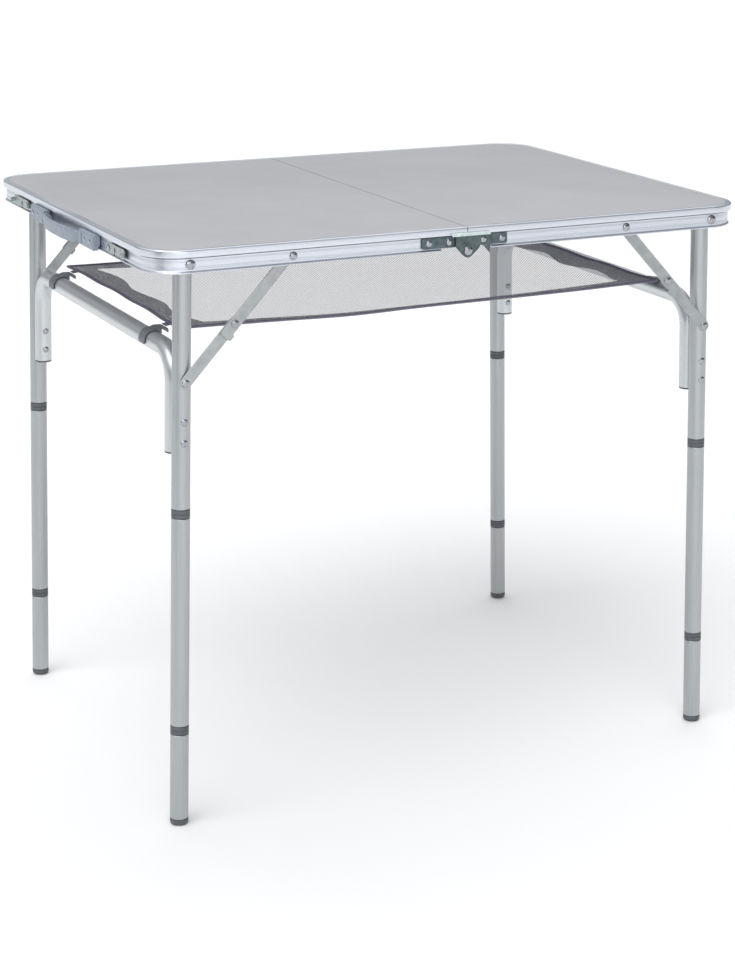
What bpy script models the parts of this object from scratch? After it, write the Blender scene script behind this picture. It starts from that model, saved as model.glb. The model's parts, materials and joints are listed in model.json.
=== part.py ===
"""Folding camping table with a net shelf: two hinged top halves, two U-shaped leg frames, four
folding braces and plug-in leg sections.

Metres, +Z up. The seam between the two halves runs along Y, the long side runs along X, and the
feet stand on z = 0. Every object hangs from one empty, whose place centres the whole table's box.
"""

import math

import bmesh
import bpy
from mathutils import Matrix, Vector

# ---------------------------------------------------------------- driving dimensions
WALL_LENGTH = 0.792  # over the rims' wall faces, along X
WALL_WIDTH = 0.592  # over the rims' wall faces, along Y
TABLE_HEIGHT = 0.700
RUN = 0.0004  # gap between pieces that move or rest on each other
SLIVER = 0.0002  # keeps joined shapes' faces out of one plane

# rim profile
RIM_HEIGHT = 0.028
RIM_WALL = 0.0016
RIM_CORNER = 0.044  # radius at the wall's outer face
LIP_OUT = 0.004  # how far the rounded lip stands proud of the wall
LIP_IN = 0.003
LIP_HEIGHT = 0.0092
BEAD_OUT = 0.0018
BEAD_HEIGHT = 0.0022
LEDGE_REACH = 0.011
BOARD_DROP = 0.0004  # top face below the lip
BOARD_THICK = 0.0047
BOARD_BED = 0.0003  # glue line between board and ledge
LEDGE_THICK = 0.0014
SEAM_GAP = 0.0008

# hinge at the seam
HINGE_DROP = 0.0002  # pivot below the rims' lower edge
HINGE_PIN_RADIUS = 0.0032
HINGE_LEAF_THICK = 0.0020
HINGE_LEAF_REACH = 0.060
HINGE_EAR_RADIUS = 0.0095
HINGE_FLANGE_OUT = 0.0048  # stop flange, measured from the ear's inner face
HINGE_NOTCH_REACH = 0.034
HINGE_INNER_HEAD = 0.0042

# legs
TUBE_RADIUS = 0.011
TUBE_WALL = 0.0012
TUBE_SIDES = 16
LEG_PIVOT_IN = 0.045  # inside the end wall's face
LEG_HEADROOM = 0.0013  # folded leg to the board
LEG_INSET = 0.027  # leg axis inside the rim's wall face
SPLAY = 0.0127  # each foot stands this far outside its pivot
UPPER_TUBE_END = 0.2925  # along the leg, from its pivot
MIDDLE_TUBE_LENGTH = 0.2546
COLLAR_HEIGHT = 0.0102
PLUG_UP = 0.035
PLUG_DOWN = 0.028
FOOT_FLANGE = 0.0080
FOOT_PLUG = 0.022

# cross tube
CROSS_TOP_DROP = 0.1116  # below the leg pivots
CROSS_END_DROP = 0.2285  # lower ends, along the leg from its pivot
CROSS_BEND = 0.036
CROSS_SIDES = 12
CROSS_RIVETS = (0.1878, 0.2128)  # along the leg, from its pivot

# braces
BRACE_RIM_STEP = 0.1264  # from the leg's pivot towards the seam
BRACE_ON_LEG = 0.1404  # along the leg, from its pivot
BRACE_WIDTH = 0.0140
BRACE_THICK = 0.0018
BRACE_OVERLAP = 0.020  # upper link's lock end past the middle rivet
BRACE_INNER_GAP = 0.0019  # leg's surface to the lower link
BRACE_LAYER_GAP = 0.0016  # lower link to upper link
RIVET_RADIUS = 0.0024
RIVET_HEAD = 0.0046
RIVET_HEAD_THICK = 0.0012
PIVOT_RADIUS = 0.0030
PIVOT_HEAD = 0.0056

# net shelf and its hooks
NET_END_GAP = 0.0215  # from a cross tube's axis to the net's end
NET_SIDE_GAP = 0.091  # from the rim's wall to the net's side
NET_ABOVE = 0.0135  # above the cross tubes' axes
NET_SAG = 0.020
NET_THICK = 0.0016
HOOK_IN = 0.034  # inside the net's side
HOOK_WIDTH = 0.018
HOOK_WALL = 0.0020

# carry handle, latches and catches
HANDLE_HALF = 0.0672
HANDLE_BOW = 0.011
HANDLE_TALL = 0.017
HANDLE_THICK = 0.0045
HANDLE_DROOP = math.radians(10)
HANDLE_AXIS_OUT = 0.0055  # hinge line in front of the wall
HANDLE_AXIS_DROP = 0.019
HANDLE_PIN = 0.0023
BRACKET_INNER_Y = 0.0682
BRACKET_LENGTH = 0.052
BRACKET_OUT = 0.0105
LATCH_Y = 0.158
LATCH_LENGTH = 0.054
LATCH_HALF_TALL = 0.0062
LATCH_THICK = 0.0014
LATCH_OUT = 0.0022  # plate's inner face in front of the wall
LATCH_DROP = 0.0176
LATCH_TAB = 0.005
CATCH_RADIUS = 0.0020
CATCH_HEAD = 0.0035
CATCH_OUT = 0.0052

# ---------------------------------------------------------------- worked-out places
HALF_X = WALL_LENGTH / 2
HALF_Y = WALL_WIDTH / 2
BOARD_LOW = TABLE_HEIGHT - BOARD_DROP - BOARD_THICK
LEDGE_TOP = BOARD_LOW - BOARD_BED
RIM_BOTTOM = TABLE_HEIGHT - RIM_HEIGHT
BEAD_TOP = RIM_BOTTOM + BEAD_HEIGHT + BEAD_OUT
LIP_BOTTOM = TABLE_HEIGHT - LIP_HEIGHT
PIVOT_Z = BOARD_LOW - LEG_HEADROOM - TUBE_RADIUS
LEG_PIVOT_X = HALF_X - LEG_PIVOT_IN
BRACE_RIM_X = LEG_PIVOT_X - BRACE_RIM_STEP
HINGE_Z = RIM_BOTTOM - HINGE_DROP
LEG_Y = HALF_Y - LEG_INSET
LEG_LENGTH = math.hypot(PIVOT_Z, SPLAY)
LEG_TILT = math.atan2(SPLAY, PIVOT_Z)
PLUG_RADIUS = TUBE_RADIUS - TUBE_WALL - RUN
MIDDLE_TOP = UPPER_TUBE_END + RUN  # top of the upper collar, along the leg
LOWER_TOP = MIDDLE_TOP + COLLAR_HEIGHT + RUN + MIDDLE_TUBE_LENGTH + RUN
CROSS_Y = LEG_Y - 2 * TUBE_RADIUS - 0.0006
CROSS_TOP_Z = PIVOT_Z - CROSS_TOP_DROP
CROSS_TOP_X = LEG_PIVOT_X + CROSS_TOP_DROP * math.tan(LEG_TILT)
NET_LENGTH = 2 * (CROSS_TOP_X - NET_END_GAP)
NET_WIDTH = WALL_WIDTH - 2 * NET_SIDE_GAP
NET_TOP_Z = CROSS_TOP_Z + NET_ABOVE
HOOK_Y = NET_WIDTH / 2 - HOOK_IN
HANDLE_TIP_OUT = (
    HANDLE_AXIS_OUT
    + HANDLE_BOW * math.cos(HANDLE_DROOP)
    + HANDLE_THICK / 2 * math.cos(HANDLE_DROOP)
    + HANDLE_TALL / 2 * math.sin(HANDLE_DROOP)
)
TABLE_SHIFT_X = (HANDLE_TIP_OUT - CATCH_OUT) / 2

# layers outside the leg's surface, from the leg towards the rim
LINK_IN = LEG_Y + TUBE_RADIUS + BRACE_INNER_GAP
LINK_OUT = LINK_IN + BRACE_THICK + BRACE_LAYER_GAP
LINK_HEAD = LINK_OUT + BRACE_THICK + RUN


def leg_point(along):
    """(x, z) of the right leg's axis at this distance below its pivot."""
    return (
        LEG_PIVOT_X + along * math.sin(LEG_TILT),
        PIVOT_Z - along * math.cos(LEG_TILT),
    )


def brace_geometry():
    """Middle rivet's (x, z) on the right side, and the two links' lengths.

    The links lie straight at rest. The upper one is longer by what the leg rivet passes the rim
    rivet when the leg is folded flat, so that both links then lie flat too.
    """
    rim_x, rim_z = BRACE_RIM_X, PIVOT_Z
    leg_x, leg_z = leg_point(BRACE_ON_LEG)
    total = math.hypot(leg_x - rim_x, leg_z - rim_z)
    passed = BRACE_ON_LEG - (LEG_PIVOT_X - BRACE_RIM_X)
    upper = (total + passed) / 2
    share = upper / total
    middle = (rim_x + (leg_x - rim_x) * share, rim_z + (leg_z - rim_z) * share)
    return middle, upper, total - upper


BRACE_MIDDLE, UPPER_LINK, LOWER_LINK = brace_geometry()
BRACE_ANGLE = math.atan2(PIVOT_Z - BRACE_MIDDLE[1], BRACE_MIDDLE[0] - BRACE_RIM_X)


# ---------------------------------------------------------------- scene, collections, materials
for old in list(bpy.data.objects):
    bpy.data.objects.remove(old)
bpy.context.scene.unit_settings.scale_length = 1.0

table = bpy.data.collections.new("folding_table")
cutters = bpy.data.collections.new("cutters")
for collection in (table, cutters):
    bpy.context.scene.collection.children.link(collection)


def material(name, color, roughness, metallic):
    made = bpy.data.materials.new(name)
    made.use_nodes = True
    shader = made.node_tree.nodes["Principled BSDF"]
    shader.inputs["Base Color"].default_value = (*color, 1)
    shader.inputs["Roughness"].default_value = roughness
    shader.inputs["Metallic"].default_value = metallic
    return made


RIM_METAL = material("rim_aluminium", (0.66, 0.69, 0.73), 0.30, 1.0)
LAMINATE = material("top_laminate", (0.47, 0.47, 0.48), 0.55, 0.0)
TUBE_METAL = material("tube_aluminium", (0.52, 0.54, 0.56), 0.38, 1.0)
BRACE_STEEL = material("brace_steel", (0.52, 0.54, 0.55), 0.40, 1.0)
HINGE_STEEL = material("hinge_steel", (0.09, 0.11, 0.115), 0.42, 0.6)
RIVET_STEEL = material("rivet_steel", (0.75, 0.76, 0.78), 0.22, 1.0)
COLLAR_PLASTIC = material("collar_plastic", (0.11, 0.12, 0.125), 0.5, 0.0)
HANDLE_PLASTIC = material("handle_plastic", (0.30, 0.34, 0.40), 0.45, 0.0)
HOOK_PLASTIC = material("hook_plastic", (0.19, 0.20, 0.22), 0.5, 0.0)
NET_CLOTH = material("net_cloth", (0.60, 0.60, 0.60), 0.9, 0.0)

frame = bpy.data.objects.new("table_frame", None)
frame.location = (TABLE_SHIFT_X, 0, 0)
table.objects.link(frame)


def empty(name, location, tilt_y=0.0):
    made = bpy.data.objects.new(name, None)
    made.parent = frame
    made.location = location
    made.rotation_euler = (0, tilt_y, 0)
    table.objects.link(made)
    return made


# ---------------------------------------------------------------- making solids
def place(name, mesh, finish=None, location=(0, 0, 0), parent=None, helper=False):
    """An object for this mesh: a sub-part, or a helper that another one cuts or joins."""
    made = bpy.data.objects.new(name, mesh)
    made.parent = parent or frame
    made.location = location
    (cutters if helper else table).objects.link(made)
    if helper:
        made.hide_render = True
        made.display_type = "WIRE"
    if finish:
        mesh.materials.append(finish)
    return made


def smooth(obj, angle=40):
    obj.data.shade_smooth()
    obj.data.set_sharp_from_angle(angle=math.radians(angle))
    return obj


def mesh_from(bm, name):
    mesh = bpy.data.meshes.new(name)
    bmesh.ops.recalc_face_normals(bm, faces=bm.faces)
    bm.to_mesh(mesh)
    bm.free()
    return mesh


def add_box(bm, low, high):
    size = [b - a for a, b in zip(low, high)]
    centre = [(a + b) / 2 for a, b in zip(low, high)]
    made = bmesh.ops.create_cube(bm, size=1)
    bmesh.ops.scale(bm, vec=size, verts=made["verts"])
    bmesh.ops.translate(bm, vec=centre, verts=made["verts"])


AXIS_TURNS = {
    "X": Matrix.Rotation(math.radians(90), 3, "Y"),
    "Y": Matrix.Rotation(math.radians(-90), 3, "X"),
    "Z": Matrix.Identity(3),
}


def add_cylinder(bm, axis, low, high, centre, radius, sides=12, end_radius=None):
    """A round bar along one axis from low to high; centre gives the other two coordinates."""
    made = bmesh.ops.create_cone(
        bm,
        cap_ends=True,
        segments=sides,
        radius1=radius,
        radius2=radius if end_radius is None else end_radius,
        depth=high - low,
    )
    bmesh.ops.rotate(bm, cent=(0, 0, 0), matrix=AXIS_TURNS[axis], verts=made["verts"])
    middle = (low + high) / 2
    across = iter(centre)
    spot = [middle if name == axis else next(across) for name in "XYZ"]
    bmesh.ops.translate(bm, vec=spot, verts=made["verts"])


def rivet_head(bm, y_face, y_top, centre, radius, sides=12):
    """A low cone-sided head on a Y face, tapering away from it."""
    low, high = sorted((y_face, y_top))
    taper = radius * 0.72
    ends = (radius, taper) if y_top > y_face else (taper, radius)
    add_cylinder(bm, "Y", low, high, centre, ends[0], sides, ends[1])


def outline_mesh(name, points, thickness):
    """A flat outline in its own XY plane, as a filled 2D curve with this thickness about z = 0."""
    curve = bpy.data.curves.new(name, "CURVE")
    curve.dimensions = "2D"
    curve.fill_mode = "BOTH"
    curve.extrude = thickness / 2
    spline = curve.splines.new("POLY")
    spline.points.add(len(points) - 1)
    for point, (x, y) in zip(spline.points, points):
        point.co = (x, y, 0, 1)
    spline.use_cyclic_u = True
    return curve_to_mesh(name, curve)


def curve_to_mesh(name, curve):
    """The curve's evaluated mesh with its caps welded on; the curve is removed."""
    holder = bpy.data.objects.new(name + "_curve", curve)
    table.objects.link(holder)
    graph = bpy.context.evaluated_depsgraph_get()
    mesh = bpy.data.meshes.new_from_object(holder.evaluated_get(graph))
    bpy.data.objects.remove(holder)
    bm = bmesh.new()
    bm.from_mesh(mesh)
    bmesh.ops.remove_doubles(bm, verts=bm.verts, dist=1e-6)
    bmesh.ops.recalc_face_normals(bm, faces=bm.faces)
    bm.to_mesh(mesh)
    bm.free()
    mesh.name = name
    return mesh


def turned(mesh, matrix):
    """The same mesh, turned and moved; a mirroring matrix has its faces turned back out."""
    mesh.transform(matrix)
    if matrix.determinant() < 0:
        mesh.flip_normals()
    return mesh


def xz_plate(name, points, y_low, y_high):
    """An outline given in (x, z), filling the layer between two y values."""
    mesh = outline_mesh(name, points, y_high - y_low)
    stand = Matrix.Translation((0, (y_low + y_high) / 2, 0)) @ Matrix.Rotation(
        math.radians(90), 4, "X"
    )
    return turned(mesh, stand)


def arc(centre, radius, start, end, steps):
    """Points on an arc, from start to end in degrees."""
    angles = [math.radians(start + (end - start) * i / steps) for i in range(steps + 1)]
    return [(centre[0] + radius * math.cos(a), centre[1] + radius * math.sin(a)) for a in angles]


def boolean(obj, helper, operation):
    step = obj.modifiers.new(helper.name, "BOOLEAN")
    step.operation = operation
    step.solver = "EXACT"
    step.object = helper
    return obj


def helper_object(name, bm, parent=None, location=(0, 0, 0)):
    return place(name, mesh_from(bm, name), None, location, parent, helper=True)


def turned_shape(name, profile, finish, parent, location, sides=TUBE_SIDES):
    """A closed (radius, z) outline turned about Z. It starts at the top of its outer side."""
    mesh = bpy.data.meshes.new(name)
    count = len(profile)
    mesh.from_pydata(
        [(r, 0, z) for r, z in profile],
        [(i, (i + 1) % count) for i in range(count) if closed_edge(profile, i)],
        [],
    )
    made = place(name, mesh, finish, location, parent)
    screw = made.modifiers.new("turn", "SCREW")
    screw.steps = screw.render_steps = sides
    screw.use_merge_vertices = True
    screw.merge_threshold = 1e-5
    screw.use_smooth_shade = True
    return made


def closed_edge(profile, i):
    """Whether the edge after point i is turned: one that lies on the axis isn't."""
    after = profile[(i + 1) % len(profile)]
    return not (profile[i][0] == 0 and after[0] == 0)


# ---------------------------------------------------------------- rims and boards
def rim_section():
    """(outward, z) outline of the rim's extrusion: bottom bead, wall, ledge and rounded lip."""
    lip = [
        (LIP_OUT * 0.55, LIP_BOTTOM + 0.0002),
        (LIP_OUT, LIP_BOTTOM + 0.0020),
        (LIP_OUT, TABLE_HEIGHT - 0.0034),
        (LIP_OUT * 0.72, TABLE_HEIGHT - 0.0012),
        (LIP_OUT * 0.2, TABLE_HEIGHT),
        (-LIP_IN * 0.8, TABLE_HEIGHT),
        (-LIP_IN, TABLE_HEIGHT - 0.0006),
    ]
    return [
        (BEAD_OUT, RIM_BOTTOM),
        (BEAD_OUT, RIM_BOTTOM + BEAD_HEIGHT),
        (0, BEAD_TOP),
        (0, LIP_BOTTOM),
        *lip,
        (-LIP_IN, LEDGE_TOP),
        (-LEDGE_REACH, LEDGE_TOP),
        (-LEDGE_REACH, LEDGE_TOP - LEDGE_THICK),
        (-RIM_WALL, LEDGE_TOP - LEDGE_THICK),
        (-RIM_WALL, RIM_BOTTOM),
    ]


def rim_path(side, inset=0.0, steps=6):
    """Plan of one half's three sides, from the seam at the front round to the seam at the rear."""
    end = HALF_X - inset
    edge = HALF_Y - inset
    radius = RIM_CORNER - inset
    seam = SEAM_GAP / 2
    front = arc((end - radius, -edge + radius), radius, -90, 0, steps)
    rear = arc((end - radius, edge - radius), radius, 0, 90, steps)
    points = [(seam, -edge), *front, *rear, (seam, edge)]
    return [(side * x, y) for x, y in points]


def rim_mesh(name, side):
    """The extrusion's section carried round one half."""
    section = bpy.data.curves.new(name + "_section", "CURVE")
    section.dimensions = "2D"
    outline = section.splines.new("POLY")
    points = rim_section()
    outline.points.add(len(points) - 1)
    for point, (out, z) in zip(outline.points, points):
        point.co = (out * side, z, 0, 1)
    outline.use_cyclic_u = True
    section_holder = bpy.data.objects.new(name + "_section", section)
    cutters.objects.link(section_holder)

    rail = bpy.data.curves.new(name, "CURVE")
    rail.dimensions = "3D"
    rail.twist_mode = "Z_UP"
    rail.bevel_mode = "OBJECT"
    rail.bevel_object = section_holder
    rail.use_fill_caps = True
    path = rim_path(side)
    spline = rail.splines.new("POLY")
    spline.points.add(len(path) - 1)
    for point, (x, y) in zip(spline.points, path):
        point.co = (x, y, 0, 1)
    mesh = curve_to_mesh(name, rail)
    bpy.data.objects.remove(section_holder)
    return mesh


def make_rim(side, label):
    rim = place(f"rim_{label}", rim_mesh(f"rim_{label}", side), RIM_METAL)

    notch = bmesh.new()
    for facing in (-1, 1):
        low_y, high_y = sorted((facing * (HALF_Y + 0.006), facing * (HALF_Y - 0.006)))
        low_x, high_x = sorted((-side * 0.004, side * HINGE_NOTCH_REACH))
        add_box(notch, (low_x, low_y, RIM_BOTTOM - 0.004), (high_x, high_y, BEAD_TOP + RUN))
    boolean(rim, helper_object(f"rim_{label}_hinge_notch", notch), "DIFFERENCE")

    studs = bmesh.new()
    for facing in (-1, 1):
        inside = facing * (HALF_Y - RIM_WALL / 2)
        spots = (
            (LEG_PIVOT_X, LEG_Y + TUBE_RADIUS + RUN, LEG_Y - TUBE_RADIUS - RUN, PIVOT_RADIUS, PIVOT_HEAD, 0.0016),
            (BRACE_RIM_X, LINK_HEAD, LINK_OUT - RUN, RIVET_RADIUS, RIVET_HEAD, 0.0008),
        )
        for x, boss, head, radius, head_radius, thick in spots:
            centre = (side * x, PIVOT_Z)
            span = sorted((inside, facing * boss))
            add_cylinder(studs, "Y", *span, centre, head_radius + 0.0006)
            span = sorted((inside, facing * (head - thick / 2)))
            add_cylinder(studs, "Y", *span, centre, radius)
            rivet_head(studs, facing * head, facing * (head - thick), centre, head_radius)
            rivet_head(studs, inside, facing * (HALF_Y + 0.0019), centre, head_radius + 0.0004)
    unioned = helper_object(f"rim_{label}_studs", studs)
    self_union = boolean(rim, unioned, "UNION")
    self_union.modifiers[-1].use_self = True
    return rim


def make_board(side, label):
    inset = LIP_IN + 0.0003
    outline = rim_path(side, inset)
    mesh = outline_mesh(f"top_board_{label}", outline, BOARD_THICK)
    turned(mesh, Matrix.Translation((0, 0, BOARD_LOW + BOARD_THICK / 2)))
    return place(f"top_board_{label}", mesh, LAMINATE)


def add_end_studs(rim, side, label, out, head_radius, radius, drop):
    """Two headed studs through one rim's end wall, for the latches or as their catches."""
    studs = bmesh.new()
    for facing in (-1, 1):
        centre = (facing * LATCH_Y, TABLE_HEIGHT - drop)
        wall = side * (HALF_X - RIM_WALL / 2)
        tip = side * (HALF_X + out)
        add_cylinder(studs, "X", *sorted((wall, tip)), centre, radius)
        head = side * (HALF_X + out - 0.0011)
        add_cylinder(studs, "X", *sorted((head, tip)), centre, head_radius)
    boolean(rim, helper_object(f"rim_{label}_end_studs", studs), "UNION")
    rim.modifiers[-1].use_self = True


# ---------------------------------------------------------------- hinges at the seam
def hinge_y(facing, low, high):
    """A layer in front of the wall face, in metres outward, as sorted y values."""
    return sorted((facing * (HALF_Y + low), facing * (HALF_Y + high)))


LEAF_NEAR = 0.0004
LEAF_FAR = LEAF_NEAR + HINGE_LEAF_THICK
EAR_NEAR = LIP_OUT + RUN  # the other half's lip turns behind the ear
EAR_FAR = EAR_NEAR + HINGE_LEAF_THICK
LEAF_LOW = BEAD_TOP + RUN
LEAF_HIGH = LIP_BOTTOM - 0.0006


def leaf_rivets(bm, facing, xs):
    for x in xs:
        centre = (x, (LEAF_LOW + LEAF_HIGH) / 2)
        near, far = LEAF_FAR - 0.0003, LEAF_FAR + 0.0016
        rivet_head(bm, facing * (HALF_Y + near), facing * (HALF_Y + far), centre, 0.0040)


def make_left_leaf(facing, place_name):
    """Plate on the left rim, joggled out over the seam, with a stop flange and the outer ear."""
    name = f"hinge_leaf_left_{place_name}"
    back = [
        (-HINGE_LEAF_REACH, LEAF_LOW),
        (-0.024, LEAF_LOW),
        (-0.0130, LEAF_LOW - 0.0036),
        (-0.0130, LEAF_HIGH),
        (-HINGE_LEAF_REACH, LEAF_HIGH),
    ]
    low, high = hinge_y(facing, LEAF_NEAR, LEAF_FAR)
    leaf = place(name, xz_plate(name, back, low, high), HINGE_STEEL)
    ear = [
        (-0.0165, LEAF_HIGH),
        (-0.0165, LEAF_LOW - 0.0040),
        *arc((0, HINGE_Z), HINGE_EAR_RADIUS, 215, 325, 8),
        (0.0175, LEAF_LOW),
        (0.0175, LEAF_HIGH),
    ]
    low, high = hinge_y(facing, LEAF_FAR - 0.0003, EAR_FAR)
    front = place(name + "_ear", xz_plate(name + "_ear", ear, low, high), None, helper=True)
    relief = bmesh.new()
    low, high = hinge_y(facing, -0.001, EAR_NEAR)
    add_box(relief, (-0.0125, low, HINGE_Z - 0.02), (0.03, high, LEAF_HIGH + 0.003))
    boolean(front, helper_object(name + "_ear_relief", relief), "DIFFERENCE")
    boolean(leaf, front, "UNION")

    more = bmesh.new()
    low, high = hinge_y(facing, EAR_NEAR + 0.0004, EAR_NEAR + HINGE_FLANGE_OUT)
    add_box(more, (-0.0225, low, LEAF_HIGH - 0.0004), (0.029, high, LEAF_HIGH + 0.0012))
    leaf_rivets(more, facing, (-0.0505,))
    near, far = EAR_FAR - 0.0003, EAR_FAR + 0.0013
    centre = (-0.0140, (LEAF_LOW + LEAF_HIGH) / 2 + 0.0005)
    rivet_head(more, facing * (HALF_Y + near), facing * (HALF_Y + far), centre, 0.0036)
    boolean(leaf, helper_object(name + "_flange", more), "UNION")
    return bore_for_pin(leaf, facing, HINGE_PIN_RADIUS + 0.0003)


def make_right_leaf(facing, place_name):
    """Plate on the right rim with the inner ear, which the pin passes through."""
    name = f"hinge_leaf_right_{place_name}"
    outline = [
        (0.0205, LEAF_HIGH),
        (0.0010, LEAF_LOW + 0.0030),
        *arc((0, HINGE_Z), HINGE_EAR_RADIUS, 150, 320, 12),
        (0.0190, LEAF_LOW),
        (HINGE_LEAF_REACH - 0.005, LEAF_LOW),
        (HINGE_LEAF_REACH - 0.005, LEAF_HIGH),
    ]
    low, high = hinge_y(facing, LEAF_NEAR, LEAF_FAR)
    leaf = place(name, xz_plate(name, outline, low, high), HINGE_STEEL)
    more = bmesh.new()
    leaf_rivets(more, facing, (0.0225, 0.0480))
    boolean(leaf, helper_object(name + "_rivets", more), "UNION")
    return bore_for_pin(leaf, facing, HINGE_PIN_RADIUS + RUN)


def bore_for_pin(leaf, facing, radius):
    hole = bmesh.new()
    low, high = hinge_y(facing, -0.01, 0.02)
    add_cylinder(hole, "Y", low, high, (0, HINGE_Z), radius)
    boolean(leaf, helper_object(leaf.name + "_pin_bore", hole), "DIFFERENCE")
    return leaf


def make_hinge_pin(facing, place_name):
    name = f"hinge_pin_{place_name}"
    pin = bmesh.new()
    low, high = hinge_y(facing, -0.0014, EAR_FAR + 0.0009)
    add_cylinder(pin, "Y", low, high, (0, HINGE_Z), HINGE_PIN_RADIUS)
    made = place(name, mesh_from(pin, name), RIVET_STEEL)
    heads = bmesh.new()
    near, far = EAR_FAR + 0.0003, EAR_FAR + 0.0021
    rivet_head(heads, facing * (HALF_Y + near), facing * (HALF_Y + far), (0, HINGE_Z), 0.0056)
    low, high = hinge_y(facing, -0.0016, LEAF_NEAR - 0.0003)
    add_cylinder(heads, "Y", low, high, (0, HINGE_Z), HINGE_INNER_HEAD)
    return smooth(boolean(made, helper_object(name + "_heads", heads), "UNION"))


# ---------------------------------------------------------------- leg frames
def tube_profile(top, bottom):
    inner = TUBE_RADIUS - TUBE_WALL
    return [(TUBE_RADIUS, top), (TUBE_RADIUS, bottom), (inner, bottom), (inner, top)]


def make_upper_tube(leg, side, facing, label):
    """Upper leg tube: its top is rounded about the pivot, so that it turns under the board."""
    name = f"leg_tube_upper_{label}"
    at = (0, facing * LEG_Y, 0)
    profile = tube_profile(0.012, -UPPER_TUBE_END)
    tube = turned_shape(name, profile, TUBE_METAL, leg, at)
    stadium = [
        *arc((0, 0), TUBE_RADIUS + 0.0002, 0, 180, 14),
        (-TUBE_RADIUS - 0.002, -0.006),
        (-TUBE_RADIUS - 0.002, -UPPER_TUBE_END - 0.01),
        (TUBE_RADIUS + 0.002, -UPPER_TUBE_END - 0.01),
        (TUBE_RADIUS + 0.002, -0.006),
    ]
    keep = xz_plate(name + "_round", stadium, -0.02, 0.02)
    boolean(tube, place(name + "_round", keep, None, at, leg, helper=True), "INTERSECT")
    hole = bmesh.new()
    add_cylinder(hole, "Y", -0.02, 0.02, (0, 0), PIVOT_RADIUS + RUN)
    boolean(tube, helper_object(name + "_pivot_hole", hole, leg, at), "DIFFERENCE")
    heads = bmesh.new()
    for along in CROSS_RIVETS:
        face, top = facing * (TUBE_RADIUS - 0.0006), facing * (TUBE_RADIUS + RIVET_HEAD_THICK)
        rivet_head(heads, face, top, (0, -along), RIVET_HEAD)
    boolean(tube, helper_object(name + "_rivets", heads, leg, at), "UNION")
    return tube


def cross_path(extra=0.0):
    """(y, z) down the leg of the bent tube's centre line, in the leg's own tilted frame."""
    level = -(PIVOT_Z - CROSS_TOP_Z) / math.cos(LEG_TILT)
    bend = arc((CROSS_Y - CROSS_BEND, level - CROSS_BEND), CROSS_BEND, 0, 90, 7)
    side = [(CROSS_Y, -CROSS_END_DROP - extra), *bend]
    return side + [(-y, z) for y, z in reversed(side)]


def bent_rod(name, radius, extra):
    curve = bpy.data.curves.new(name, "CURVE")
    curve.dimensions = "3D"
    curve.bevel_depth = radius
    curve.bevel_resolution = CROSS_SIDES // 2 - 2
    curve.use_fill_caps = True
    path = cross_path(extra)
    spline = curve.splines.new("POLY")
    spline.points.add(len(path) - 1)
    for point, (y, z) in zip(spline.points, path):
        point.co = (0, y, z, 1)
    return curve_to_mesh(name, curve)


def make_cross_tube(leg, label):
    name = f"cross_tube_{label}"
    tube = place(name, bent_rod(name, TUBE_RADIUS, 0.0), TUBE_METAL, parent=leg)
    bore = bent_rod(name + "_bore", TUBE_RADIUS - TUBE_WALL, 0.01)
    boolean(tube, place(name + "_bore", bore, parent=leg, helper=True), "DIFFERENCE")
    heads = bmesh.new()
    for facing in (-1, 1):
        for along in CROSS_RIVETS:
            face = facing * (CROSS_Y - TUBE_RADIUS + 0.0006)
            top = facing * (CROSS_Y - TUBE_RADIUS - RIVET_HEAD_THICK)
            rivet_head(heads, face, top, (0, -along), RIVET_HEAD)
    boolean(tube, helper_object(name + "_rivets", heads, leg), "UNION")
    return tube


def make_cross_plug(leg, facing, label):
    """Dark end plug in the cross tube's open lower end."""
    flange = 0.0022
    bottom = -CROSS_END_DROP - RUN - flange
    profile = [
        (0, -CROSS_END_DROP + 0.010),
        (PLUG_RADIUS - 0.0002, -CROSS_END_DROP + 0.010),
        (PLUG_RADIUS - 0.0002, bottom + flange),
        (TUBE_RADIUS, bottom + flange),
        (TUBE_RADIUS - 0.0006, bottom),
        (0, bottom),
    ]
    at = (0, facing * CROSS_Y, 0)
    return turned_shape(f"cross_plug_{label}", profile, COLLAR_PLASTIC, leg, at, 16)


def make_collar(leg, facing, label, level, top):
    """Plastic connector: a plug up into the tube above, a collar, and a plug fixed below it."""
    profile = [
        (0, -top + PLUG_UP),
        (PLUG_RADIUS - 0.0012, -top + PLUG_UP),
        (PLUG_RADIUS, -top + PLUG_UP - 0.003),
        (PLUG_RADIUS, -top),
        (TUBE_RADIUS, -top),
        (TUBE_RADIUS, -top - COLLAR_HEIGHT),
        (PLUG_RADIUS, -top - COLLAR_HEIGHT),
        (PLUG_RADIUS, -top - COLLAR_HEIGHT - PLUG_DOWN),
        (0, -top - COLLAR_HEIGHT - PLUG_DOWN),
    ]
    at = (0, facing * LEG_Y, 0)
    return turned_shape(f"leg_connector_{level}_{label}", profile, COLLAR_PLASTIC, leg, at)


def make_section_tube(leg, facing, label, level, top, bottom):
    profile = tube_profile(-top, -bottom)
    at = (0, facing * LEG_Y, 0)
    return turned_shape(f"leg_tube_{level}_{label}", profile, TUBE_METAL, leg, at)


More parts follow.
